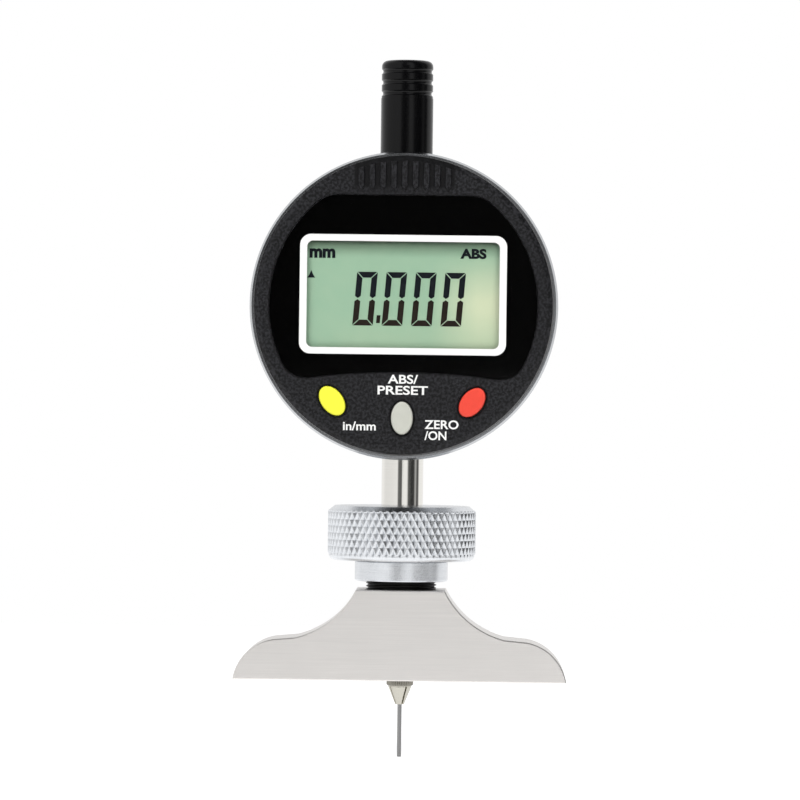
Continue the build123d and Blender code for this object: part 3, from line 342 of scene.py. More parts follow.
def cable_material(name):
    """Flat film cable with dark conductors along it."""
    n = Nodes(name)
    split = n.add("ShaderNodeSeparateXYZ")
    n.link(n.coords, split.inputs[0])
    wave = n.math("FRACT", n.math("MULTIPLY", split.outputs["Z"], 1 / (0.5 * MM)))
    line = n.math("LESS_THAN", wave, 0.45)
    color = n.mix(line, linear("c98a2e"), linear("7a4313"))
    return n.shader(color, n.spread(n.noise(0.6), 0.28, 0.4), 0.0, n.bump(wave, 0.02, 0.4))


looks = {
    "cover": cover_material("moulded_black"),
    "back": surface("moulded_black_back", "1c1c1f", 0.52, vary=0.25, size=0.5, grain=0.24, depth=0.03,
                    rough_vary=0.08, edge=0.12, Specular_IOR_Level=0.3),
    "inner_plastic": surface("inner_black", "1c1c1e", 0.6, vary=0.1, size=0.6, grain=0.3, depth=0.01, edge=0.08),
    "dust_cap": surface("cap_black", "050506", 0.2, vary=0.1, size=6.0, stretch=(1, 1, 4), grain=0.5,
                        depth=0.003, rough_vary=0.05, edge=0.06, Specular_IOR_Level=0.2),
    "print": surface("print_black", "020202", 0.35, vary=0.2, size=8.0, grain=0.4, depth=0.001,
                     Specular_IOR_Level=0.02),
    "base": brushed("base_steel", "e4e1de", 0.4, 0, length=9.0, width=0.07, depth=0.003, vary=0.05, edge=0.08),
    "knurl": knurl_material("nut_aluminium"),
    "rim": turned("rim_aluminium", "b4b6b9", 0.18, axis=1, edge=0.06),
    "case": surface("case_satin", "a9abae", 0.42, 1.0, vary=0.05, size=1.6, grain=0.14, depth=0.01, edge=0.1),
    "stem": turned("stem_polished", "e8e6e1", 0.07, depth=0.0006, pitch=0.12, edge=0.05),
    "collet": turned("collet_black", "0c0b08", 0.3, metal=0.0, depth=0.003, edge=0.05, Specular_IOR_Level=0.3),
    "holder": turned("holder_nickel", "c0bdb3", 0.2, depth=0.001, pitch=0.08, edge=0.04),
    "grip": surface("grip_nickel", "86837b", 0.34, 1.0, vary=0.15, size=0.2, grain=0.08, depth=0.01),
    "pin": turned("pin_ground", "8f8f8f", 0.3, depth=0.001, pitch=0.06),
    "brass": turned("bush_brass", "b9944f", 0.3, depth=0.002, edge=0.05),
    "sheet_brass": surface("contact_brass", "c9b27a", 0.3, 1.0, size=1.5, grain=0.2, depth=0.002),
    "screw": surface("screw_zinc", "a5a6a8", 0.34, 1.0, size=0.8, grain=0.15, depth=0.004, edge=0.08),
    "wire": surface("spring_wire", "8b8c8e", 0.3, 1.0, size=0.5, grain=0.1, depth=0.002),
    "cell": turned("cell_steel", "c4c4c4", 0.3, axis=1, pitch=0.2, edge=0.1),
    "rubber": surface("rubber_black", "1a1a1a", 0.75, vary=0.1, size=0.8, grain=0.15, depth=0.01, edge=0.08),
    "friction": surface("friction_white", "cfcdc2", 0.5, vary=0.04, size=1.0, grain=0.2, depth=0.004, edge=0.05),
    "white": surface("frame_white", "e3e3de", 0.45, vary=0.03, size=1.5, grain=0.2, depth=0.003, edge=0.08),
    "chip": surface("chip_black", "151517", 0.55, vary=0.15, size=0.3, grain=0.1, depth=0.006, edge=0.06),
    "yellow": surface("button_yellow", "f6f640", 0.42, vary=0.02, size=1.6, grain=0.18, depth=0.003, edge=0.06),
    "grey": surface("button_grey", "c3c4ba", 0.42, vary=0.03, size=1.6, grain=0.18, depth=0.003, edge=0.06),
    "red": surface("button_red", "ea4736", 0.42, vary=0.03, size=1.6, grain=0.18, depth=0.003, edge=0.06),
    "label": surface("label_white", "f0f0ee", 0.5, vary=0.03, size=0.4, grain=0.1, depth=0.002),
    "frame_print": surface("print_white", "fbfbf9", 0.4, vary=0.01, size=3.0, grain=0.3, depth=0.001),
    "segment": surface("segment_black", "0a0f16", 0.4, vary=0.15, size=1.2, grain=0.2, depth=0.001,
                       Specular_IOR_Level=0.2),
    "segment_low": surface("segment_brown", "1f1711", 0.4, vary=0.15, size=1.2, grain=0.2, depth=0.001,
                           Specular_IOR_Level=0.2),
    "lens": clear_window("window_clear"),
    "panel": panel_material("panel_green"),
    "board": board_material("board_green"),
    "scale": scale_material("scale_bars"),
    "cable": cable_material("cable_film"),
}

node_looks = {
    "depth_base": "base", "collet": "collet", "clamp_nut": "knurl", "stem": "stem", "lower_bush": "brass",
    "upper_bush": "brass", "dust_cap": "dust_cap", "case": "case", "buffer_ring": "rubber", "spindle": "stem",
    "scale_carrier": "brass", "carrier_screw": "screw", "guide_pin": "stem", "scale_strip": "scale",
    "guide_rail": "case", "rail_screws": "screw", "return_spring": "wire", "sensor_board": "board",
    "sensor_screws": "screw", "ribbon_cable": "cable", "retaining_ring": "wire", "friction_ring": "friction",
    "case_seal": "rubber", "rear_cover": "back", "rear_screws": "screw", "battery": "cell",
    "battery_contacts": "sheet_brass", "battery_cap": "back", "front_cover": "cover", "bezel_ring": "rim",
    "window_lens": "lens", "lcd_panel": "panel", "lcd_frame": "white", "contact_strips": "rubber",
    "display_board": "board", "processor_chip": "chip", "cable_socket": "white", "push_switches": "chip",
    "display_carrier": "inner_plastic", "display_screws": "screw", "button_in_mm": "yellow",
    "button_preset": "grey", "button_zero_on": "red", "pin_holder": "holder", "measuring_pin": "pin",
}

SMOOTH_ANGLE = 32.0
for node, look in node_looks.items():
    obj = nodes[node]
    obj.data.materials.clear()
    obj.data.materials.append(looks[look])
    for poly in obj.data.polygons:
        poly.material_index = 0


def smooth(obj, angle=SMOOTH_ANGLE):
    """Smooth faces, with edges sharper than the angle kept crisp."""
    mesh = obj.data
    mesh.shade_smooth()
    mesh.set_sharp_from_angle(angle=math.radians(angle))


def piece(name, verts, faces, look, body):
    """A mesh object from vertices in millimetres, riding on a body."""
    mesh = bpy.data.meshes.new(name)
    mesh.from_pydata([[c * MM for c in v] for v in verts], [], faces)
    mesh.validate()
    bm = bmesh.new()
    bm.from_mesh(mesh)
    bmesh.ops.recalc_face_normals(bm, faces=bm.faces)
    bm.to_mesh(mesh)
    bm.free()
    mesh.materials.append(looks[look])
    obj = bpy.data.objects.new(name, mesh)
    bpy.context.scene.collection.objects.link(obj)
    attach(obj, body)
    return obj


def on_dial(u, w, y):
    """Point of the dial, u to the right and w up from its centre, at depth y."""
    return (u, y, DIAL_Z + w)


def slab(loops, y_front, y_back):
    """Vertices and faces of a flat slab: an outer loop and holes of as many points, or one loop alone."""
    verts, faces = [], []
    count = len(loops[0])
    for y in (y_front, y_back):
        for loop in loops:
            verts += [on_dial(u, w, y) for u, w in loop]
    layer = count * len(loops)

    def wall(a, b, flip):
        for i in range(count):
            j = (i + 1) % count
            quad = [a + i, a + j, b + j, b + i]
            faces.append(quad[::-1] if flip else quad)

    wall(0, layer, False)
    if len(loops) == 2:
        wall(count, layer + count, True)
        wall(0, count, True)
        wall(layer, layer + count, False)
    else:
        faces.append(list(range(count)))
        faces.append(list(range(layer, layer + count))[::-1])
    return verts, faces


def rounded_box(cx, cz, width, height, radius, steps=12):
    """Loop of a rectangle with rounded corners."""
    loop = []
    for qx, qz, start in ((1, 1, 0), (-1, 1, 90), (-1, -1, 180), (1, -1, 270)):
        for k in range(steps + 1):
            a = math.radians(start + 90 * k / steps)
            loop.append((
                cx + qx * (width / 2 - radius) + radius * math.cos(a),
                cz + qz * (height / 2 - radius) + radius * math.sin(a),
            ))
    return loop


def resample(loop, angles, centre):
    """Points where rays from the centre meet the loop."""
    out = []
    pts = np.array(loop) - np.array(centre)
    for a in angles:
        d = np.array([math.cos(a), math.sin(a)])
        best = None
        for p, q in zip(pts, np.roll(pts, -1, axis=0)):
            e = q - p
            det = d[0] * -e[1] + e[0] * d[1]
            if abs(det) < 1e-12:
                continue
            t = (p[0] * -e[1] + e[0] * p[1]) / det
            s = (d[0] * p[1] - d[1] * p[0]) / det
            if t > 0 and -1e-9 <= s <= 1 + 1e-9 and (best is None or t > best):
                best = t
        out.append((centre[0] + d[0] * best, centre[1] + d[1] * best))
    return out


# Print behind the window: black all over, with a clear opening and a white line round it
LENS_RADIUS, LENS_TOP, LENS_FOOT, LENS_ARCH = 25.3, 20.7, -12.6, 131.0
LENS_CORNERS = (6.0, 4.9)
LENS_BACK_Y = -13.25
FRAME_CENTRE = (-0.1, 2.0)
FRAME_OUTER = (39.1, 22.6, 2.1)
FRAME_INNER = (36.4, 20.1, 1.15)


def lens_loop():
    """Outline of the window: a disc with a flat top and an arched foot, corners rounded."""
    r, top, foot, arch = LENS_RADIUS, LENS_TOP, LENS_FOOT, LENS_ARCH
    c1, c2 = LENS_CORNERS
    loop = []
    # top right corner: circle of c1 touching the disc inside and the flat top
    zc = top - c1
    xc = math.sqrt((r - c1) ** 2 - zc ** 2)
    a0 = math.atan2(zc, xc)
    # foot corner: circle of c2 inside the disc, touching the arch from above
    arch_z = foot - arch
    d1, d2 = r - c2, arch + c2
    zf = (d1 ** 2 - d2 ** 2 + arch_z ** 2) / (2 * arch_z)
    xf = math.sqrt(d1 ** 2 - zf ** 2)
    b0 = math.atan2(zf, xf)
    b1 = math.atan2(arch_z - zf, -xf)
    right = []
    for k in range(9):
        a = math.pi / 2 + (a0 - math.pi / 2) * k / 8
        right.append((xc + c1 * math.cos(a), zc + c1 * math.sin(a)))
    for k in range(1, 60):
        a = a0 + (b0 - a0) * k / 60
        right.append((r * math.cos(a), r * math.sin(a)))
    for k in range(11):
        a = b0 + (b1 - b0) * k / 10
        right.append((xf + c2 * math.cos(a), zf + c2 * math.sin(a)))
    foot_x = right[-1][0]
    for k in range(1, 13):
        x = foot_x * (1 - k / 12)
        right.append((x, arch_z + math.sqrt(arch ** 2 - x ** 2)))
    loop = right + [(-x, z) for x, z in right[-2::-1]]
    return loop


angles = [2 * math.pi * k / 360 + 0.001 for k in range(360)]
lens_ring = resample(lens_loop(), angles, FRAME_CENTRE)
hole_ring = resample(rounded_box(*FRAME_CENTRE, FRAME_INNER[0], FRAME_INNER[1], FRAME_INNER[2]), angles, FRAME_CENTRE)
print_verts, print_faces = slab([lens_ring, hole_ring], LENS_BACK_Y + 0.018, LENS_BACK_Y + 0.04)
window_print = piece("window_print", print_verts, print_faces, "print", "display")

outer = rounded_box(*FRAME_CENTRE, *FRAME_OUTER)
inner = rounded_box(*FRAME_CENTRE, *FRAME_INNER)
line_verts, line_faces = slab([outer, inner], LENS_BACK_Y + 0.004, LENS_BACK_Y + 0.015)
window_line = piece("window_line", line_verts, line_faces, "frame_print", "display")

# Seven-segment digits on the panel: "0.000", leaning a little
PANEL_Y = -12.3
DIGIT_FOOT, DIGIT_HEIGHT = -3.88, 10.15
DIGIT_WIDTH, DIGIT_PITCH, DIGIT_LEAN = 3.9, 5.556, 0.083
DIGIT_LEFT = -9.66
SEGMENT_WIDTH, SEGMENT_GAP = 1.1, 0.11
SHEET_FRONT, SHEET_BACK = PANEL_Y - 0.03, PANEL_Y - 0.008


def digit_segments(left, foot, width, height, bar, gap):
    """Polygons of the six segments that draw a nought, with mitred ends."""
    half = height / 2
    right, top, middle = left + width, foot + height, foot + half
    g = gap
    return {
        "top": [(left + g, top), (right - g, top), (right - bar - g, top - bar), (left + bar + g, top - bar)],
        "foot": [(left + g, foot), (left + bar + g, foot + bar), (right - bar - g, foot + bar), (right - g, foot)],
        "left_high": [(left, top - g), (left + bar, top - bar - g), (left + bar, middle + g + bar * 0.35),
                      (left + bar / 2, middle + g), (left, middle + g + bar * 0.35)],
        "left_low": [(left, foot + g), (left, middle - g - bar * 0.35), (left + bar / 2, middle - g),
                     (left + bar, middle - g - bar * 0.35), (left + bar, foot + bar + g)],
        "right_high": [(right, top - g), (right, middle + g + bar * 0.35), (right - bar / 2, middle + g),
                       (right - bar, middle + g + bar * 0.35), (right - bar, top - bar - g)],
        "right_low": [(right, foot + g), (right - bar, foot + bar + g), (right - bar, middle - g - bar * 0.35),
                      (right - bar / 2, middle - g), (right, middle - g - bar * 0.35)],
    }


def lean(point):
    return (point[0] + (point[1] - DIGIT_FOOT) * DIGIT_LEAN, point[1])


for group, look in (("high", "segment"), ("low", "segment_low")):
    verts, faces = [], []
    for k in range(4):
        shapes = digit_segments(DIGIT_LEFT + k * DIGIT_PITCH, DIGIT_FOOT, DIGIT_WIDTH, DIGIT_HEIGHT,
                                SEGMENT_WIDTH, SEGMENT_GAP)
        for name, shape in shapes.items():
            low = name.endswith("low") or name == "foot"
            if low != (group == "low"):
                continue
            v, f = slab([[lean(p) for p in shape]], SHEET_FRONT, SHEET_BACK)
            faces += [[i + len(verts) for i in face] for face in f]
            verts += v
    if group == "low":
        point = [lean(p) for p in ((-5.2, -3.4), (-4.48, -3.4), (-4.48, -1.9), (-5.2, -1.9))]
        v, f = slab([point], SHEET_FRONT, SHEET_BACK)
        faces += [[i + len(verts) for i in face] for face in f]
        verts += v
    piece("digits_" + group, verts, faces, look, "display")

v, f = slab([[(-18.25, 5.05), (-16.75, 5.05), (-17.2, 5.75), (-17.5, 6.5), (-17.8, 5.75)]], SHEET_FRONT, SHEET_BACK)
piece("unit_arrow", v, f, "segment", "display")


def words(name, text, centre, width, height, y, look, weight=0.0, body="display"):
    """Flat lettering that fills a box on the dial, as a thin raised mesh."""
    curve = bpy.data.curves.new(name + "_text", "FONT")
    curve.body = text
    curve.offset = weight
    curve.extrude = 0.01
    curve.resolution_u = 4
    holder = bpy.data.objects.new(name + "_text", curve)
    bpy.context.scene.collection.objects.link(holder)
    bpy.context.view_layer.update()
    mesh = bpy.data.meshes.new_from_object(holder.evaluated_get(bpy.context.evaluated_depsgraph_get()))
    bpy.data.objects.remove(holder)
    bpy.data.curves.remove(curve)
    co = np.array([v.co for v in mesh.vertices])
    lo, hi = co.min(0), co.max(0)
    scale = (width / (hi[0] - lo[0]), height / (hi[1] - lo[1]))
    thickness = 0.018 / (hi[2] - lo[2])
    for vert in mesh.vertices:
        u = centre[0] + (vert.co.x - (lo[0] + hi[0]) / 2) * scale[0]
        w = centre[1] + (vert.co.y - (lo[1] + hi[1]) / 2) * scale[1]
        depth = (vert.co.z - lo[2]) * thickness
        vert.co = Vector(on_dial(u, w, y - depth)) * MM
    bm = bmesh.new()
    bm.from_mesh(mesh)
    bmesh.ops.remove_doubles(bm, verts=bm.verts, dist=1e-7)
    bmesh.ops.recalc_face_normals(bm, faces=bm.faces)
    bm.to_mesh(mesh)
    bm.free()
    mesh.name = name
    mesh.materials.clear()
    mesh.materials.append(looks[look])
    for poly in mesh.polygons:
        poly.material_index = 0
    obj = bpy.data.objects.new(name, mesh)
    bpy.context.scene.collection.objects.link(obj)
    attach(obj, body)
    return obj


COVER_Y = -14.502
words("sign_mm", "mm", (-15.45, 9.7), 4.9, 1.8, PANEL_Y - 0.01, "segment", 0.05)
words("sign_abs", "ABS", (13.1, 9.9), 4.95, 1.95, PANEL_Y - 0.01, "segment", 0.05)
words("label_abs", "ABS/", (0.1, -13.97), 5.7, 1.7, COVER_Y, "label", 0.02)
words("label_preset", "PRESET", (0.1, -16.05), 9.5, 1.7, COVER_Y, "label", 0.02)
words("label_in_mm", "in/mm", (-8.0, -22.87), 6.2, 1.68, COVER_Y, "label", 0.02)
words("label_zero", "ZERO", (7.5, -22.44), 6.4, 1.7, COVER_Y, "label", 0.02)
words("label_on", "/ON", (6.37, -24.53), 4.15, 1.7, COVER_Y, "label", 0.02)

# Knurled nut: ridges that cross on the slant, with sunk diamonds between, run out into the bevels
NUT_FOOT, NUT_TOP, NUT_RADIUS = 22.8, 33.15, 14.15
NUT_BEVEL, NUT_BAND = (1.25, 1.0), 1.1
COLLAR_FOOT, COLLAR_RADIUS = 18.8, 8.9
KNURL_COUNT, KNURL_STEPS, KNURL_DEPTH = 66, 12, 0.4
KNURL_PITCH, KNURL_ROWS, KNURL_LAND = 2.62, 48, 0.14


def nut_profile(z):
    """Radius of the nut's blank at height z."""
    radius = NUT_RADIUS
    across, high = NUT_BEVEL
    if z > NUT_TOP - high:
        radius = min(radius, NUT_RADIUS - across * (z - (NUT_TOP - high)) / high)
    if z < NUT_FOOT + NUT_BAND:
        t = 1 - (z - NUT_FOOT) / NUT_BAND
        radius = min(radius, NUT_RADIUS - 0.2 - 0.75 * t * t * t)
    return radius


def saw(x):
    """0 on a groove, 1 half way between two."""
    return 1 - abs(2 * (x - math.floor(x)) - 1)


def knurled_nut():
    verts, faces = [], []
    columns = KNURL_COUNT * KNURL_STEPS
    step_z = KNURL_PITCH / KNURL_STEPS
    heights = [NUT_FOOT + i * step_z for i in range(KNURL_ROWS)]
    heights = [h for h in heights if h < NUT_TOP - 0.02] + [NUT_TOP]
    for j, z in enumerate(heights):
        blank = nut_profile(z)
        for i in range(columns):
            a = 2 * math.pi * i / columns
            across, up = i / KNURL_STEPS, j / KNURL_STEPS
            off_ridge = min(saw(across + up), saw(across - up))
            sunk = max(0.0, (off_ridge - KNURL_LAND) / (1 - KNURL_LAND))
            r = min(blank, NUT_RADIUS - KNURL_DEPTH * sunk)
            verts.append((r * math.sin(a), -r * math.cos(a), z))
    rows = len(heights)
    for j in range(rows - 1):
        for i in range(columns):
            k = (i + 1) % columns
            a, b, c, d = j * columns + i, j * columns + k, (j + 1) * columns + k, (j + 1) * columns + i
            if (i + j + 1) % KNURL_STEPS == 0 or (i + j + 1) % (KNURL_STEPS // 2) == 0:
                faces += [(a, b, d), (b, c, d)]
            else:
                faces += [(a, b, c), (a, c, d)]

    def lathe(profile, close_to_first):
        """Rings from the last row inwards; profile is radius and height."""
        count = 132
        base = len(verts)
        for r, z in profile:
            for i in range(count):
                a = 2 * math.pi * i / count
                verts.append((r * math.sin(a), -r * math.cos(a), z))
        for p in range(len(profile) - 1):
            for i in range(count):
                k = (i + 1) % count
                q = base + p * count
                faces.append((q + i, q + k, q + count + k, q + count + i))
        ratio = columns // count
        ring = close_to_first
        for i in range(count):
            k = (i + 1) % count
            fan = [ring + (i * ratio + m) % columns for m in range(ratio + 1)]
            faces.append(fan + [base + k, base + i])
        return base, count

    top_ring = (rows - 1) * columns
    base, count = lathe([
        (NUT_RADIUS - NUT_BEVEL[0] - 0.06, NUT_TOP), (4.9, NUT_TOP), (4.55, NUT_TOP - 0.12), (4.4, NUT_TOP - 0.4),
        (4.4, 32.05), (5.1, 32.05), (6.35, 26.95), (6.35, 18.95), (6.5, COLLAR_FOOT),
        (8.6, COLLAR_FOOT), (8.82, COLLAR_FOOT + 0.08), (COLLAR_RADIUS, COLLAR_FOOT + 0.3),
        (COLLAR_RADIUS, NUT_FOOT - 0.35), (8.55, NUT_FOOT - 0.18), (8.55, NUT_FOOT),
        (13.0, NUT_FOOT), (NUT_RADIUS - 0.97, NUT_FOOT),
    ], top_ring)
    last = len(verts) - count
    ratio = columns // count
    for i in range(count):
        k = (i + 1) % count
        fan = [(i * ratio + m) % columns for m in range(ratio + 1)]
        faces.append([last + i, last + k] + fan[::-1])
    return verts, faces


verts, faces = knurled_nut()
nut = piece("knurled_nut", verts, faces, "knurl", "nut")
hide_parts("clamp_nut")

# Thread that shows between the collar and the base
THREAD_ROOT, THREAD_CREST, THREAD_PITCH = 6.35, 6.75, 0.6
THREAD_FOOT, THREAD_TOP = 17.24, 18.76


def thread():
    verts, faces = [], []
    count = 144
    section = [(0, 0), (0.36, 1), (0.5, 1), (0.86, 0)]
    turns = (THREAD_TOP - THREAD_FOOT) / THREAD_PITCH
    steps = int(count * (turns + 1))
    for i in range(steps + 1):
        a = 2 * math.pi * i / count
        rise = THREAD_FOOT - THREAD_PITCH + THREAD_PITCH * i / count
        for s, high in section:
            z = min(max(rise + s * THREAD_PITCH, THREAD_FOOT), THREAD_TOP)
            r = THREAD_ROOT + high * (THREAD_CREST - THREAD_ROOT)
            verts.append((r * math.cos(a), r * math.sin(a), z))
    n = len(section)
    for i in range(steps):
        for s in range(n):
            t = (s + 1) % n
            a, b = i * n + s, i * n + t
            faces.append((a, b, b + n, a + n))
    faces.append(tuple(range(n)))
    faces.append(tuple(range(steps * n, steps * n + n))[::-1])
    return verts, faces


verts, faces = thread()
piece("collet_thread", verts, faces, "collet", "base")

# Pin holder: ribbed ring, cone with jaws parted by slits, neck and stud
HOLDER_RIBS, HOLDER_JAWS, HOLDER_RIB_DEPTH = 32, 4, 0.18


def holder():
    verts, faces = [], []
    count = HOLDER_RIBS * 6
    profile = [
        (1.25, 8.0, 0, 0), (1.25, 3.0, 0, 0), (1.9, 3.0, 0, 0), (1.9, 1.0, 0, 0),
        (2.3, 1.0, 0, 0), (2.42, 0.86, 1, 0), (2.48, 0.7, 1, 0), (2.48, -0.95, 1, 0), (2.42, -1.12, 1, 0),
        (2.28, -1.25, 0, 0), (2.2, -1.35, 0, 0), (2.22, -1.5, 0, 1), (1.9, -2.3, 0, 1),
        (1.55, -3.15, 0, 1), (1.2, -4.0, 0, 1), (0.92, -4.68, 0, 1), (0.82, -4.85, 0, 1), (0.42, -4.85, 0, 0),
        (0.42, -4.3, 0, 0),
    ]
    for r, z, ribbed, jawed in profile:
        for i in range(count):
            a = 2 * math.pi * i / count
            radius = r
            if ribbed:
                radius += HOLDER_RIB_DEPTH * (saw(i / 6) - 0.5)
            if jawed:
                turn = (a / (2 * math.pi) * HOLDER_JAWS + 0.62) % 1
                if min(turn, 1 - turn) * 2 * math.pi / HOLDER_JAWS * r < 0.13:
                    radius = max(0.43, r - 0.55)
            verts.append((radius * math.sin(a), -radius * math.cos(a), z))
    rows = len(profile)
    for j in range(rows - 1):
        for i in range(count):
            k = (i + 1) % count
            faces.append((j * count + i, j * count + k, (j + 1) * count + k, (j + 1) * count + i))
    faces.append(tuple(range(count)))
    faces.append(tuple(range((rows - 1) * count, rows * count))[::-1])
    return verts, faces


verts, faces = holder()
chuck = piece("pin_chuck", verts, faces, "holder", "plunger")
chuck.data.materials.append(looks["grip"])
for poly in chuck.data.polygons:
    place = poly.center / MM
    if -1.2 < place.z < 0.9 and Vector((place.x, place.y)).length > 2.3:
        poly.material_index = 1
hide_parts("pin_holder")
smooth(chuck, 25)

# Return spring: close coils with a loop at each end
SPRING_X, SPRING_FOOT, SPRING_TOP = 8.5, 50.5, 76.2
SPRING_RADIUS, WIRE_RADIUS, SPRING_COILS = 1.62, 0.25, 26


def tube(path, radius, sides=8):
    """Vertices and faces of a round wire along a path."""
    pts = np.array(path, float)
    verts, faces = [], []
    tangents = np.gradient(pts, axis=0)
    tangents /= np.linalg.norm(tangents, axis=1)[:, None]
    normal = np.cross(tangents[0], (0.3, 0.5, 0.81))
    for p, t in zip(pts, tangents):
        normal = normal - t * np.dot(normal, t)
        normal /= np.linalg.norm(normal)
        side = np.cross(t, normal)
        for k in range(sides):
            a = 2 * math.pi * k / sides
            verts.append(p + radius * (math.cos(a) * normal + math.sin(a) * side))
    for i in range(len(pts) - 1):
        for k in range(sides):
            j = (k + 1) % sides
            faces.append((i * sides + k, i * sides + j, (i + 1) * sides + j, (i + 1) * sides + k))
    faces.append(tuple(range(sides))[::-1])
    faces.append(tuple(range((len(pts) - 1) * sides, len(pts) * sides)))
    return [tuple(v) for v in verts], faces


def spring_path():
    path = []
    eye = 1.3
    for k in range(0, 25):
        a = math.radians(-80 + 330 * k / 24)
        path.append((SPRING_X + eye * math.sin(a), 0.0, SPRING_FOOT - eye * math.cos(a)))
    start, end = SPRING_FOOT + 1.75, SPRING_TOP - 1.75
    steps = SPRING_COILS * 20
    for k in range(steps + 1):
        a = 2 * math.pi * k / 20
        path.append((SPRING_X - SPRING_RADIUS * math.cos(a), SPRING_RADIUS * math.sin(a), start + (end - start) * k / steps))
    for k in range(0, 25):
        a = math.radians(-70 + 330 * k / 24)
        path.append((SPRING_X + eye * math.sin(a), 0.0, SPRING_TOP - eye * math.cos(a)))
    return path


verts, faces = tube(spring_path(), WIRE_RADIUS)
mesh = bpy.data.meshes.new("coil_spring")
mesh.from_pydata([[c * MM for c in v] for v in verts], [], faces)
mesh.validate()
mesh.materials.append(looks["wire"])
mesh.shade_smooth()
spring = bpy.data.objects.new("coil_spring", mesh)
bpy.context.scene.collection.objects.link(spring)
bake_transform(spring)
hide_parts("return_spring")

for node, obj in nodes.items():
    if not obj.hide_render:
        smooth(obj)


def backdrop_material(name, diffuse=0.82, glow=0.8, lit=0.5):
    """White with a faint shadow to the camera, in mirrors and through glass; a plain pale floor to other rays."""
    n = Nodes(name)
    white = n.add("ShaderNodeEmission")
    white.inputs["Color"].default_value = (1, 1, 1, 1)
    white.inputs["Strength"].default_value = glow
    shaded = n.add("ShaderNodeBsdfDiffuse")
    shaded.inputs["Color"].default_value = (lit, lit, lit, 1)
    both = n.add("ShaderNodeAddShader")
    n.link(white.outputs[0], both.inputs[0])
    n.link(shaded.outputs[0], both.inputs[1])
    plain = n.add("ShaderNodeBsdfDiffuse")
    plain.inputs["Color"].default_value = (diffuse, diffuse, diffuse, 1)
    path = n.add("ShaderNodeLightPath")
    seen = n.math("MAXIMUM", path.outputs["Is Camera Ray"], path.outputs["Is Glossy Ray"])
    seen = n.math("MAXIMUM", seen, path.outputs["Is Transmission Ray"])
    mix = n.add("ShaderNodeMixShader")
    n.link(seen, mix.inputs[0])
    n.link(plain.outputs[0], mix.inputs[1])
    n.link(both.outputs[0], mix.inputs[2])
    n.link(mix.outputs[0], n.out.inputs["Surface"])
    return n.mat


FLOOR_Z = -14.95
FLOOR_HALF = 500.0
floor_mesh = bpy.data.meshes.new("floor")
corners = [(-FLOOR_HALF, -FLOOR_HALF), (FLOOR_HALF, -FLOOR_HALF), (FLOOR_HALF, FLOOR_HALF), (-FLOOR_HALF, FLOOR_HALF)]
floor_mesh.from_pydata([(x * MM, y * MM, FLOOR_Z * MM) for x, y in corners], [], [(0, 1, 2, 3)])
floor_mesh.materials.append(backdrop_material("floor_white"))
floor = bpy.data.objects.new("floor", floor_mesh)
bpy.context.scene.collection.objects.link(floor)


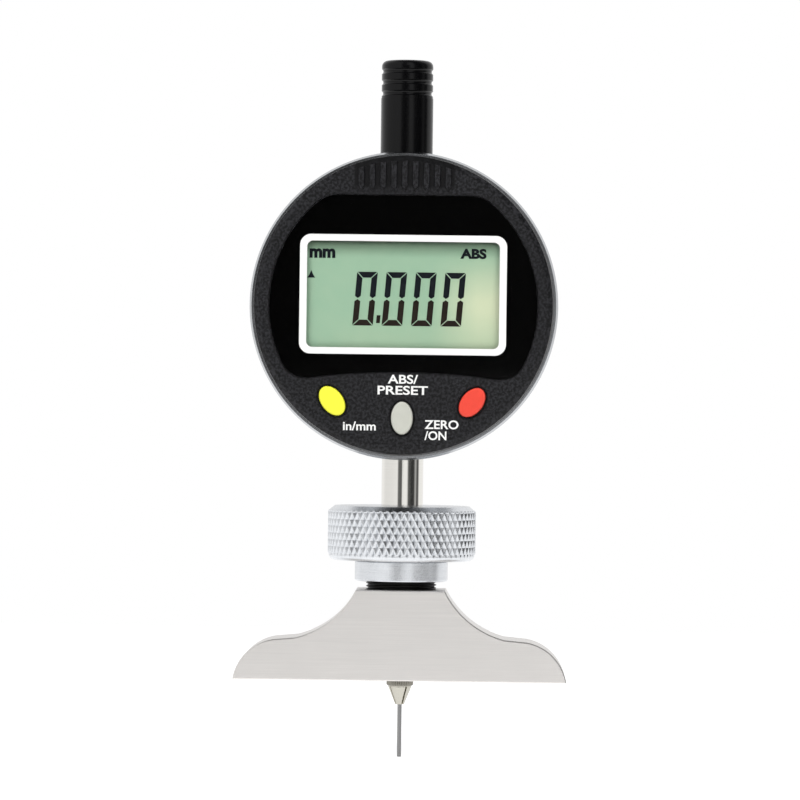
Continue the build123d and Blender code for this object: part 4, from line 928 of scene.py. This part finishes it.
def studio_world():
    """White to the camera. Mirrors see soft boxes at the sides and a dark patch about the camera's place."""
    world = bpy.data.worlds.new("studio")
    bpy.context.scene.world = world
    world.use_nodes = True
    tree = world.node_tree
    tree.nodes.clear()

    def add(kind, **values):
        node = tree.nodes.new(kind)
        for key, value in values.items():
            setattr(node, key, value)
        return node

    out = add("ShaderNodeOutputWorld")
    path = add("ShaderNodeLightPath")
    plain = add("ShaderNodeBackground")
    plain.inputs["Color"].default_value = (1, 1, 1, 1)
    plain.inputs["Strength"].default_value = 0.42
    seen = add("ShaderNodeBackground")
    seen.inputs["Color"].default_value = (1, 1, 1, 1)
    seen.inputs["Strength"].default_value = 1.0
    mirror = add("ShaderNodeBackground")
    coords = add("ShaderNodeTexCoord")
    split = add("ShaderNodeSeparateXYZ")
    tree.links.new(coords.outputs["Generated"], split.inputs[0])
    back = add("ShaderNodeMath", operation="MULTIPLY")
    tree.links.new(split.outputs["Y"], back.inputs[0])
    back.inputs[1].default_value = -1.0
    turn = add("ShaderNodeMath", operation="ARCTAN2")
    tree.links.new(split.outputs["X"], turn.inputs[0])
    tree.links.new(back.outputs[0], turn.inputs[1])
    part = add("ShaderNodeMapRange")
    tree.links.new(turn.outputs[0], part.inputs["Value"])
    part.inputs["From Min"].default_value = -math.pi
    part.inputs["From Max"].default_value = math.pi
    ramp = add("ShaderNodeValToRGB")
    tree.links.new(part.outputs["Result"], ramp.inputs["Fac"])
    # bearing in degrees from the camera's side, and brightness there
    stops = [(-180, 0.95), (-135, 1.0), (-100, 0.88), (-60, 0.9), (-28, 0.95), (-20, 0.15), (-4, 0.12), (2, 1.0),
             (24, 1.0), (36, 0.1), (55, 0.04), (68, 0.06), (75, 0.4), (82, 0.4), (88, 0.06), (97, 0.15), (108, 1.0),
             (180, 1.0)]
    ramp.color_ramp.interpolation = "EASE"
    elements = ramp.color_ramp.elements
    while len(elements) > 1:
        elements.remove(elements[-1])
    for i, (bearing, bright) in enumerate(stops):
        position = (bearing + 180) / 360
        element = elements[0] if i == 0 else elements.new(position)
        element.position = position
        element.color = (bright, bright, bright, 1)

    def ramped(value, start, end, low, high):
        node = add("ShaderNodeMapRange", interpolation_type="SMOOTHSTEP")
        tree.links.new(value, node.inputs["Value"])
        for socket, number in (("From Min", start), ("From Max", end), ("To Min", low), ("To Max", high)):
            node.inputs[socket].default_value = number
        return node.outputs["Result"]

    def product(a, b):
        node = add("ShaderNodeMath", operation="MULTIPLY")
        tree.links.new(a, node.inputs[0])
        tree.links.new(b, node.inputs[1])
        return node.outputs[0]

    # a dark patch, as of the open room, where a flat window that faces the front would mirror it
    aside = add("ShaderNodeMath", operation="ABSOLUTE")
    tree.links.new(turn.outputs[0], aside.inputs[0])
    near = ramped(aside.outputs[0], math.radians(7), math.radians(13), 1, 0)
    rise = split.outputs["Z"]
    patch = product(near, product(ramped(rise, -0.002, 0.008, 0, 1), ramped(rise, 0.14, 0.22, 1, 0)))
    open_room = ramped(patch, 0, 1, 1, 0.05)
    overhead = ramped(rise, 0.8, 0.97, 1, 0.3)
    dim = product(open_room, overhead)
    tree.links.new(dim, mirror.inputs["Strength"])
    tree.links.new(ramp.outputs["Color"], mirror.inputs["Color"])
    first = add("ShaderNodeMixShader")
    tree.links.new(path.outputs["Is Glossy Ray"], first.inputs[0])
    tree.links.new(plain.outputs[0], first.inputs[1])
    tree.links.new(mirror.outputs[0], first.inputs[2])
    either = add("ShaderNodeMath", operation="MAXIMUM")
    tree.links.new(path.outputs["Is Camera Ray"], either.inputs[0])
    tree.links.new(path.outputs["Is Transmission Ray"], either.inputs[1])
    second = add("ShaderNodeMixShader")
    tree.links.new(either.outputs[0], second.inputs[0])
    tree.links.new(first.outputs[0], second.inputs[1])
    tree.links.new(seen.outputs[0], second.inputs[2])
    tree.links.new(second.outputs[0], out.inputs["Surface"])


studio_world()


def lamp(name, place, aim, size, power):
    """A soft area lamp, place and aim in millimetres."""
    data = bpy.data.lights.new(name, "AREA")
    data.shape = "RECTANGLE"
    data.size, data.size_y = size[0] * MM, size[1] * MM
    data.energy = power
    obj = bpy.data.objects.new(name, data)
    bpy.context.scene.collection.objects.link(obj)
    obj.location = Vector(place) * MM
    obj.visible_glossy = False
    direction = (Vector(aim) - Vector(place)).normalized()
    obj.rotation_euler = direction.to_track_quat("-Z", "Y").to_euler()


lamp("key_left", (-520, -620, 420), (0, 0, 55), (420, 420), 3.1)
lamp("fill_right", (560, -560, 260), (0, 0, 55), (380, 380), 1.7)
lamp("top", (0, -180, 640), (0, 0, 60), (420, 300), 1.7)

camera_data = bpy.data.cameras.new("camera")
camera_data.lens = CAMERA_LENS
camera_data.sensor_width = 36.0
camera_data.clip_end = 10.0
camera_data.clip_start = 0.01
camera = bpy.data.objects.new("camera", camera_data)
camera.location = (CAMERA_X * MM, -CAMERA_BACK * MM, CAMERA_Z * MM)
camera.rotation_euler = (
    math.pi / 2, math.radians(CAMERA_ROLL), math.atan2(CAMERA_X - CAMERA_AIM_X, CAMERA_BACK)
)
bpy.context.scene.collection.objects.link(camera)
bpy.context.scene.camera = camera

bpy.context.scene.view_settings.view_transform = "Standard"
